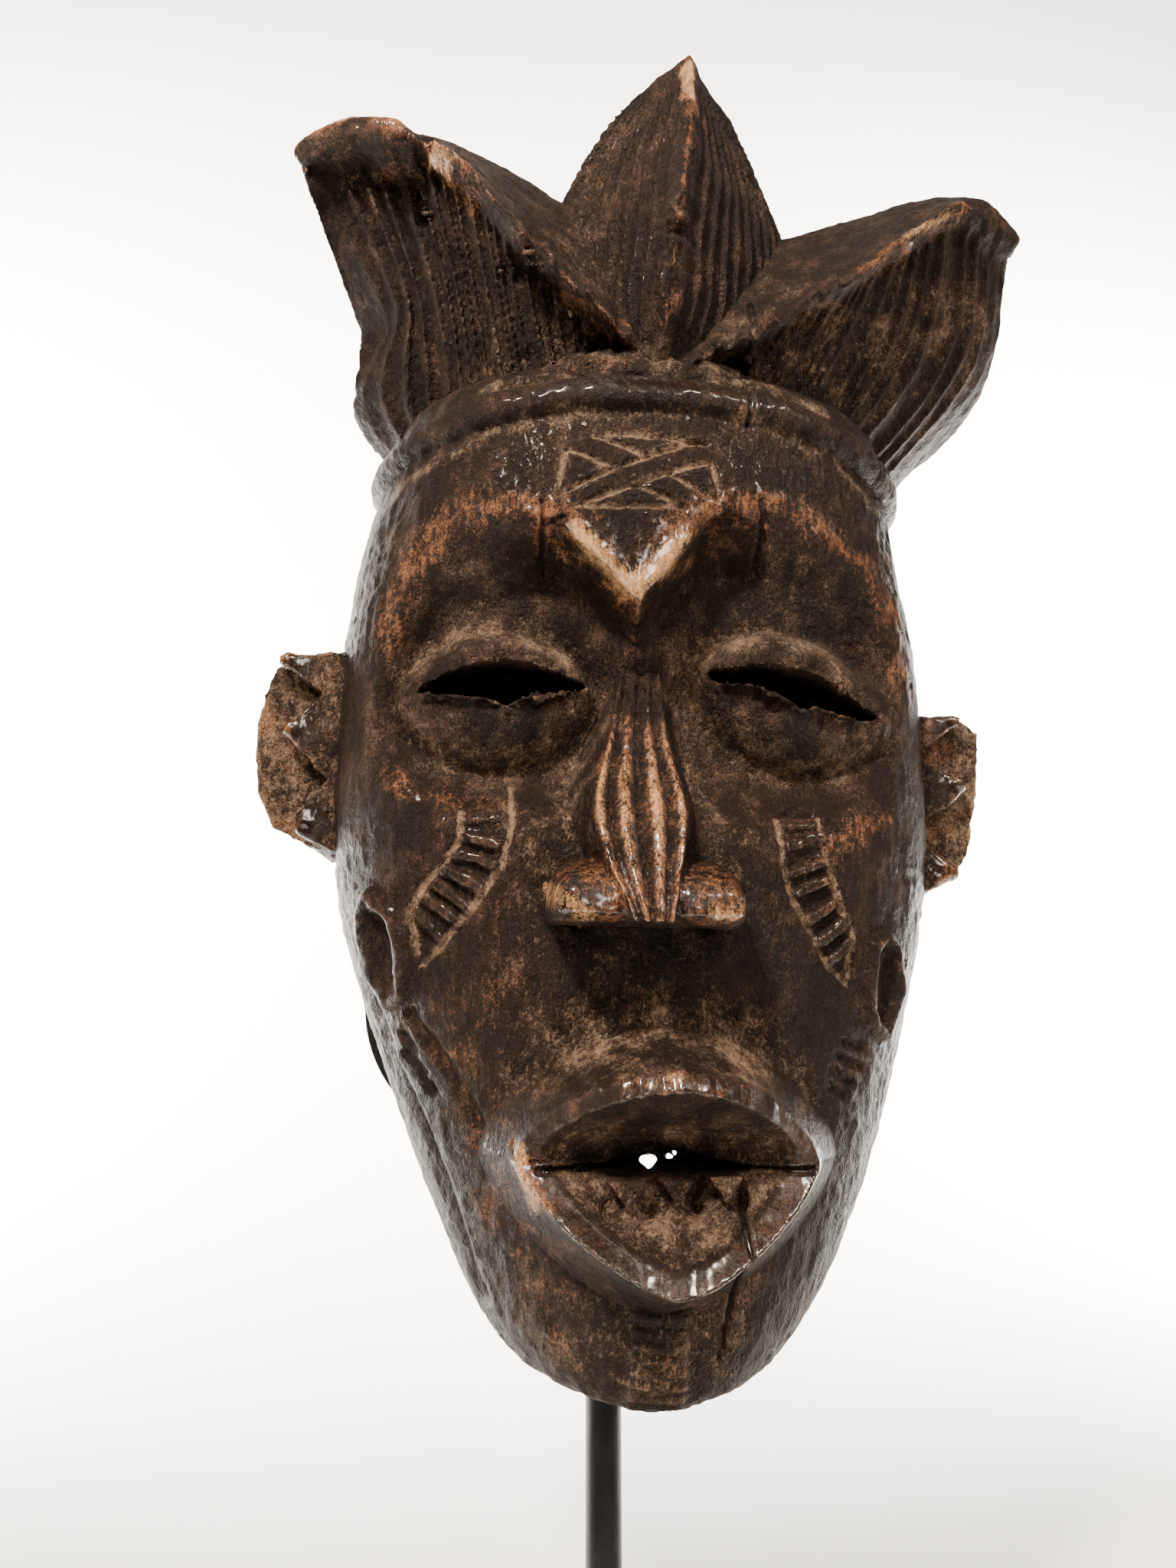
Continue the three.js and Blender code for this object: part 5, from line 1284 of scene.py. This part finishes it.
# Shaders
class Socket:
    """A shader value that can be written in sums and products."""

    def __init__(self, finish, out):
        self.finish, self.out = finish, out

    def maths(self, operation, a, b, limited=False):
        settings = {"operation": operation, "use_clamp": limited}
        return self.finish.node("ShaderNodeMath", settings, {0: a, 1: b})

    def __add__(self, other):
        return self.maths("ADD", self, other)

    def __sub__(self, other):
        return self.maths("SUBTRACT", self, other)

    def __rsub__(self, other):
        return self.maths("SUBTRACT", other, self)

    def __mul__(self, other):
        return self.maths("MULTIPLY", self, other)

    __radd__ = __add__
    __rmul__ = __mul__

    def limited(self):
        return self.maths("ADD", self, 0, True)

    def over(self, low, high):
        """0 below a low value, 1 above a high one, smooth between."""
        settings = {"interpolation_type": "SMOOTHSTEP"}
        sockets = {"Value": self, "From Min": low, "From Max": high}
        return self.finish.node("ShaderNodeMapRange", settings, sockets)


class Finish:
    """A material whose nodes are made by short calls."""

    def __init__(self, name):
        self.material = bpy.data.materials.new(name)
        self.material.use_nodes = True
        self.nodes = self.material.node_tree.nodes
        self.links = self.material.node_tree.links
        self.shader = self.nodes["Principled BSDF"]

    def node(self, kind, settings=None, sockets=None, output=0):
        made = self.nodes.new(kind)
        for key, value in (settings or {}).items():
            setattr(made, key, value)
        for key, value in (sockets or {}).items():
            self.feed(made.inputs[key], value)
        return Socket(self, made.outputs[output])

    def feed(self, target, value):
        if isinstance(value, Socket):
            self.links.new(value.out, target)
        else:
            target.default_value = value

    def surface(self, **sockets):
        for key, value in sockets.items():
            self.feed(self.shader.inputs[key.replace("_", " ")], value)

    def attribute(self, name):
        return self.node("ShaderNodeAttribute", {"attribute_name": name}, output="Fac")

    def place(self, scale):
        """Object coordinates stretched by a scale for each axis, in lumps for each metre."""
        here = self.node("ShaderNodeTexCoord", output="Object")
        return self.node("ShaderNodeVectorMath", {"operation": "MULTIPLY"}, {0: here, 1: scale})

    def noise(self, scale, detail, roughness):
        sockets = {"Vector": self.place(scale), "Scale": 1.0, "Detail": detail, "Roughness": roughness}
        return self.node("ShaderNodeTexNoise", {}, sockets)

    def mix(self, share, first, second):
        return self.node("ShaderNodeMix", {"data_type": "RGBA"}, {0: share, 6: first, 7: second}, output=2)

    def bump(self, height, distance):
        return self.node("ShaderNodeBump", {}, {"Height": height, "Distance": distance, "Strength": 1.0})


PATINA_BLACK = (0.0075, 0.0042, 0.0028, 1)
PATINA_BROWN = (0.056, 0.028, 0.015, 1)
GREY_BROWN = (0.135, 0.088, 0.058, 1)
WORN_ORANGE = (0.24, 0.095, 0.036, 1)
WORN_TAN = (0.55, 0.3, 0.135, 1)
OCHRE_DUST = (0.23, 0.15, 0.088, 1)
CRACK_AND_SHADE_BLACK = (0.0015, 0.001, 0.001, 1)
RELIEF, PAINT_RELIEF = 0.0008, 0.00006
FLOOR_SHADE, FLOOR_PALE = (0.86, 0.84, 0.81, 1), (0.89, 0.875, 0.85, 1)


def carved_wood_finish():
    """Old dark wood: black patina, orange wear on edges, ochre dust in hollows, waxed where handled; some
    painted shade and light.
    """
    finish = Finish("dark_patinated_wood")
    layer = {name: finish.attribute(name) for name in
             ("worn", "sunk", "orange", "tan", "dust", "black", "polish", "matte")}
    fibre = finish.noise((2600, 2600, 800), 1, 0.6)
    grit = finish.noise((2300, 2300, 2000), 3, 0.65)
    grain = finish.noise((900, 900, 240), 2, 0.6)
    crust = finish.noise((700, 700, 520), 3, 0.7)
    patch = finish.noise((150, 150, 95), 3, 0.6)
    fine = (grit - 0.5) * 1.3 + (grain - 0.5) * 0.8
    brown = (fine + (patch - 0.5) * 1.4 + layer["worn"] * 0.55).over(-0.15, 0.95)
    colour = finish.mix(brown, PATINA_BLACK, PATINA_BROWN)
    # The dust layer lightens towards grey-brown and ochre: dust, and on the upper lids, above the upper lip
    # and on the right tuft also painted light
    dusty = (layer["dust"] * 0.45 + layer["matte"] * 0.16 + (grit - 0.5) * 1.3 + (patch - 0.5) * 1.2
             - layer["polish"] * 0.4).over(0.1, 1.1)
    colour = finish.mix(dusty * 0.75, colour, GREY_BROWN)
    pits, peaks = 0.5 - crust, crust - 0.5
    ochre = (layer["dust"] * 0.8 + layer["sunk"] * 0.35 + (grit - 0.5) * 1.0 + pits * 2.4
             + (patch - 0.5) * 1.2 - layer["polish"]).over(0.32, 1.35)
    colour = finish.mix(ochre * 0.75, colour, OCHRE_DUST)
    orange = (layer["orange"] * 0.95 + layer["worn"] * 0.4 + fine * 1.1 + peaks * 1.6
              + (patch - 0.5) * 0.9).over(0.35, 1.4)
    colour = finish.mix(orange, colour, WORN_ORANGE)
    tan = (layer["tan"] + layer["worn"] * 0.2 + layer["orange"] * 0.12 + fine * 0.9
           + (patch - 0.5) * 0.8).over(0.5, 1.5)
    colour = finish.mix(tan, colour, WORN_TAN)
    # Near-black from the black layer: cracks, and painted shade in the mouth's slit and under the nose, brows
    # and eyes
    colour = finish.mix(layer["black"], colour, CRACK_AND_SHADE_BLACK)
    rough = (0.54 + layer["matte"] * 0.15 + ochre * 0.15 - layer["polish"] * 0.28 - tan * 0.1
             + (grit - 0.5) * 0.4)
    finish.surface(Base_Color=colour, Roughness=rough.limited(),
                   Normal=finish.bump((fibre * 0.5 + crust * 2.0 + grit * 0.5) * (1 - layer["polish"] * 0.9),
                                      RELIEF),
                   Coat_Weight=(layer["polish"] * 0.9 + layer["worn"] * 0.35 - 0.08 - layer["matte"] * 0.3
                                + peaks * 1.4).limited())
    finish.surface(Coat_Roughness=0.16, IOR=1.45, Specular_IOR_Level=0.14)
    return finish.material


def black_paint(name, colour, roughness, grit):
    """Matte black paint with a fine texture and faint rubbed spots."""
    finish = Finish(name)
    fine = finish.noise((grit, grit, grit), 3, 0.6)
    cloud = finish.noise((60, 60, 60), 3, 0.5)
    rubbed = tuple(min(1, 2.2 * c) for c in colour[:3]) + (1,)
    finish.surface(Base_Color=finish.mix((cloud * 0.6 + fine * 0.4).over(0.45, 0.75), colour, rubbed),
                   Roughness=roughness + (fine - 0.5) * 0.2 + (cloud - 0.5) * 0.15,
                   Normal=finish.bump(fine, PAINT_RELIEF))
    finish.surface(Specular_IOR_Level=0.18)
    return finish.material


def backdrop_finish():
    """Pale paper with faint clouds."""
    finish = Finish("pale_studio_floor")
    cloud = finish.noise((6, 6, 6), 3, 0.5)
    finish.surface(Base_Color=finish.mix(cloud, FLOOR_SHADE, FLOOR_PALE), Roughness=0.9)
    return finish.material


# Stand, in the mask's frame but upright; a paint is its name, colour, roughness and grain
BOARD = {"left": -64, "right": 65.5, "bottom": 35, "top": 190, "corner": 36, "thick": 4, "front": 1.0}
CLAMP = {"z": 96, "half_high": 12, "wide": 16, "reach": 17.3}
ROD = {"radius": 4.4, "rim": 1, "edge": 0.4, "bevel": 0.8, "rim_level": 7, "collar_high": 8,
       "neck_level": 8.6}
SHARP_ANGLE = 40
ROD_PAINT = ("black_rod_paint", (0.008, 0.008, 0.008, 1), 0.5, 2500)
BOARD_PAINT = ("black_board", (0.006, 0.006, 0.006, 1), 0.75, 1800)
FOOT_PAINT = ("black_foot_paint", (0.010, 0.010, 0.010, 1), 0.5, 1800)


def turned(name, profile, centre, sides=72):
    """A round piece from a profile of (radius, height), in metres."""
    angle = 2 * np.pi * np.arange(sides) / sides
    return loft(name, [np.column_stack([centre[0] + r * np.cos(angle), -(centre[1] + r * np.sin(angle)),
                                        np.full(sides, level)]) for r, level in profile])


def stand_rod():
    """The round rod with a collar at its foot, and softened edges."""
    low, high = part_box("rod")
    centre = (low + high) / 2
    collar = (high.x - low.x) / 2
    size = {name: value * MM for name, value in ROD.items()}
    radius, rim, top = size["radius"], size["rim"], low.z + size["collar_high"]
    profile = [(collar - rim, low.z), (collar, low.z + size["edge"]), (collar, low.z + size["rim_level"]),
               (collar - rim, top), (radius + size["edge"], top), (radius, low.z + size["neck_level"]),
               (radius, high.z - size["bevel"]), (radius - size["bevel"], high.z)]
    return turned("display_rod", profile, centre)


def stand_board():
    """The black board behind the mask, pressed to its rim, with the block that grips the rod."""
    outline = []
    corners = (("right", "top", 0, -1, -1), ("left", "top", 90, 1, -1), ("left", "bottom", 180, 1, 1),
               ("right", "bottom", 270, -1, 1))
    for side, level, turn, inward_x, inward_z in corners:
        for a in np.radians(np.linspace(turn, turn + 90, 19)):
            outline.append((BOARD[side] + BOARD["corner"] * (inward_x + math.cos(a)),
                            BOARD[level] + BOARD["corner"] * (inward_z + math.sin(a))))
    board = loft("black_board", prism_loops(outline, -BOARD["thick"], BOARD["front"]))
    half, low, high = CLAMP["wide"] / 2, CLAMP["z"] - CLAMP["half_high"], CLAMP["z"] + CLAMP["half_high"]
    block = [(-half, low), (half, low), (half, high), (-half, high)]
    joined(board, [loft("clamp", prism_loops(block, -1, CLAMP["reach"]))], "UNION")
    set_points(board.data, (points_of(board.data) + CHIN_PLACE) * MM)
    return board


def dress(mesh, finish):
    mesh.materials.clear()
    mesh.materials.append(finish)


def shade_by_angle(piece, degrees):
    shade_smooth(piece.data)
    piece.data.set_sharp_from_angle(angle=math.radians(degrees))
    piece.data.update()


# Studio: camera, floor, and lamps as name, place, aim, size, power and colour
CAMERA_PLACE = Vector((-0.03632, -0.27325, 0.182))
CAMERA_TURN, CAMERA_RISE = math.radians(6.0), math.radians(9.4)
PHOTO_HEIGHT, FOCAL_PIXELS, SENSOR = 2048, 1540, 36.0
FLOOR = {"near": -0.32, "far": 1.1, "half_wide": 1.15, "high": 1.9, "bend": 0.9}
MASK_CENTRE = (0, 0, 0.26)
LAMPS = [
    ("left_spot", (-0.42, -0.66, 1.1), MASK_CENTRE, 0.14, 42, (1, 0.88, 0.76)),
    ("right_spot", (0.5, -0.76, 0.98), MASK_CENTRE, 0.14, 10, (1, 0.89, 0.77)),
    ("front_fill", (0.05, -1.3, 0.78), MASK_CENTRE, 0.3, 10, (1, 0.9, 0.8)),
    ("right_panel", (0.8, -0.42, 0.85), MASK_CENTRE, 0.26, 1.4, (1, 0.93, 0.85)),
    ("backdrop_left", (-0.85, 0.4, 0.5), (-0.75, 1.1, 0.28), 0.8, 200, (1, 0.98, 0.95)),
    ("backdrop_right", (0.85, 0.4, 0.5), (0.75, 1.1, 0.28), 0.8, 200, (1, 0.98, 0.95)),
]
ROOM_COLOUR, ROOM_BRIGHTNESS = (1, 0.985, 0.96, 1), 0.08


def aimed(name, data, place, ahead):
    """Puts a camera or a lamp in the scene, looking along a direction."""
    made = in_scene(name, data)
    made.location = place
    made.rotation_euler = ahead.to_track_quat("-Z", "Y").to_euler()
    return made


def camera():
    data = bpy.data.cameras.new("camera")
    level, rise = math.cos(CAMERA_RISE), math.sin(CAMERA_RISE)
    ahead = Vector((math.sin(CAMERA_TURN) * level, math.cos(CAMERA_TURN) * level, rise))
    bpy.context.scene.camera = aimed("camera", data, CAMERA_PLACE, ahead)
    data.sensor_fit = "VERTICAL"
    data.sensor_height = SENSOR
    data.lens = SENSOR * FOCAL_PIXELS / PHOTO_HEIGHT
    data.clip_start = 0.01


def lamp(name, place, aim, size, power, colour):
    data = bpy.data.lights.new(name, "AREA")
    data.size = size
    data.energy = power
    data.color = colour
    aimed(name, data, place, Vector(aim) - Vector(place))


def studio():
    """A pale floor that sweeps up into the backdrop, and soft lamps above the front."""
    near, far, wide, high, bend = (FLOOR[k] for k in ("near", "far", "half_wide", "high", "bend"))
    turns = np.linspace(0.1, np.pi / 2, 16)
    sweep = [(far - bend + bend * math.sin(turn), bend - bend * math.cos(turn)) for turn in turns]
    profile = [(near, 0.0), (far - bend, 0.0), *sweep, (far, high)]
    points, faces = [], []
    for k, (y, z) in enumerate(profile):
        points += [(-wide, y, z), (wide, y, z)]
        if k:
            a = 2 * k
            faces += [(a - 2, a - 1, a + 1), (a - 2, a + 1, a)]
    floor = mesh_object("studio_floor", np.array(points), np.array(faces))
    shade_smooth(floor.data)
    floor.data.materials.append(backdrop_finish())
    for setting in LAMPS:
        lamp(*setting)
    world = bpy.data.worlds.new("studio")
    bpy.context.scene.world = world
    world.use_nodes = True
    background = world.node_tree.nodes["Background"]
    background.inputs["Color"].default_value = ROOM_COLOUR
    background.inputs["Strength"].default_value = ROOM_BRIGHTNESS


camera()
wood = carved_wood_finish()
pieces = [
    *face_pieces(), nose_piece(), mouth_piece(),
    ear_piece("ear_left", EARS[0]), ear_piece("ear_right", EARS[1]),
    tuft_piece("crest_left", side_tuft_loops(LEFT_TUFT)),
    tuft_piece("crest_right", side_tuft_loops(RIGHT_TUFT), [loft("bead", edge_bead_loops(RIGHT_TUFT))]),
    tuft_piece("crest_middle", middle_tuft_loops(MIDDLE_TUFT), [loft("mound", mound_loops())]),
]
for piece in pieces:
    dress(piece.data, wood)
    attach(piece, "root")
    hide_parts("mask")

for piece, node, slot, finish in ((stand_rod(), "rod", "black_steel", black_paint(*ROD_PAINT)),
                                  (stand_board(), "backing", "black_board", black_paint(*BOARD_PAINT))):
    shade_by_angle(piece, SHARP_ANGLE)
    dress(piece.data, finish)
    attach(piece, "root")
    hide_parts(node)

dress(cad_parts["base_plate"].data, black_paint(*FOOT_PAINT))

studio()
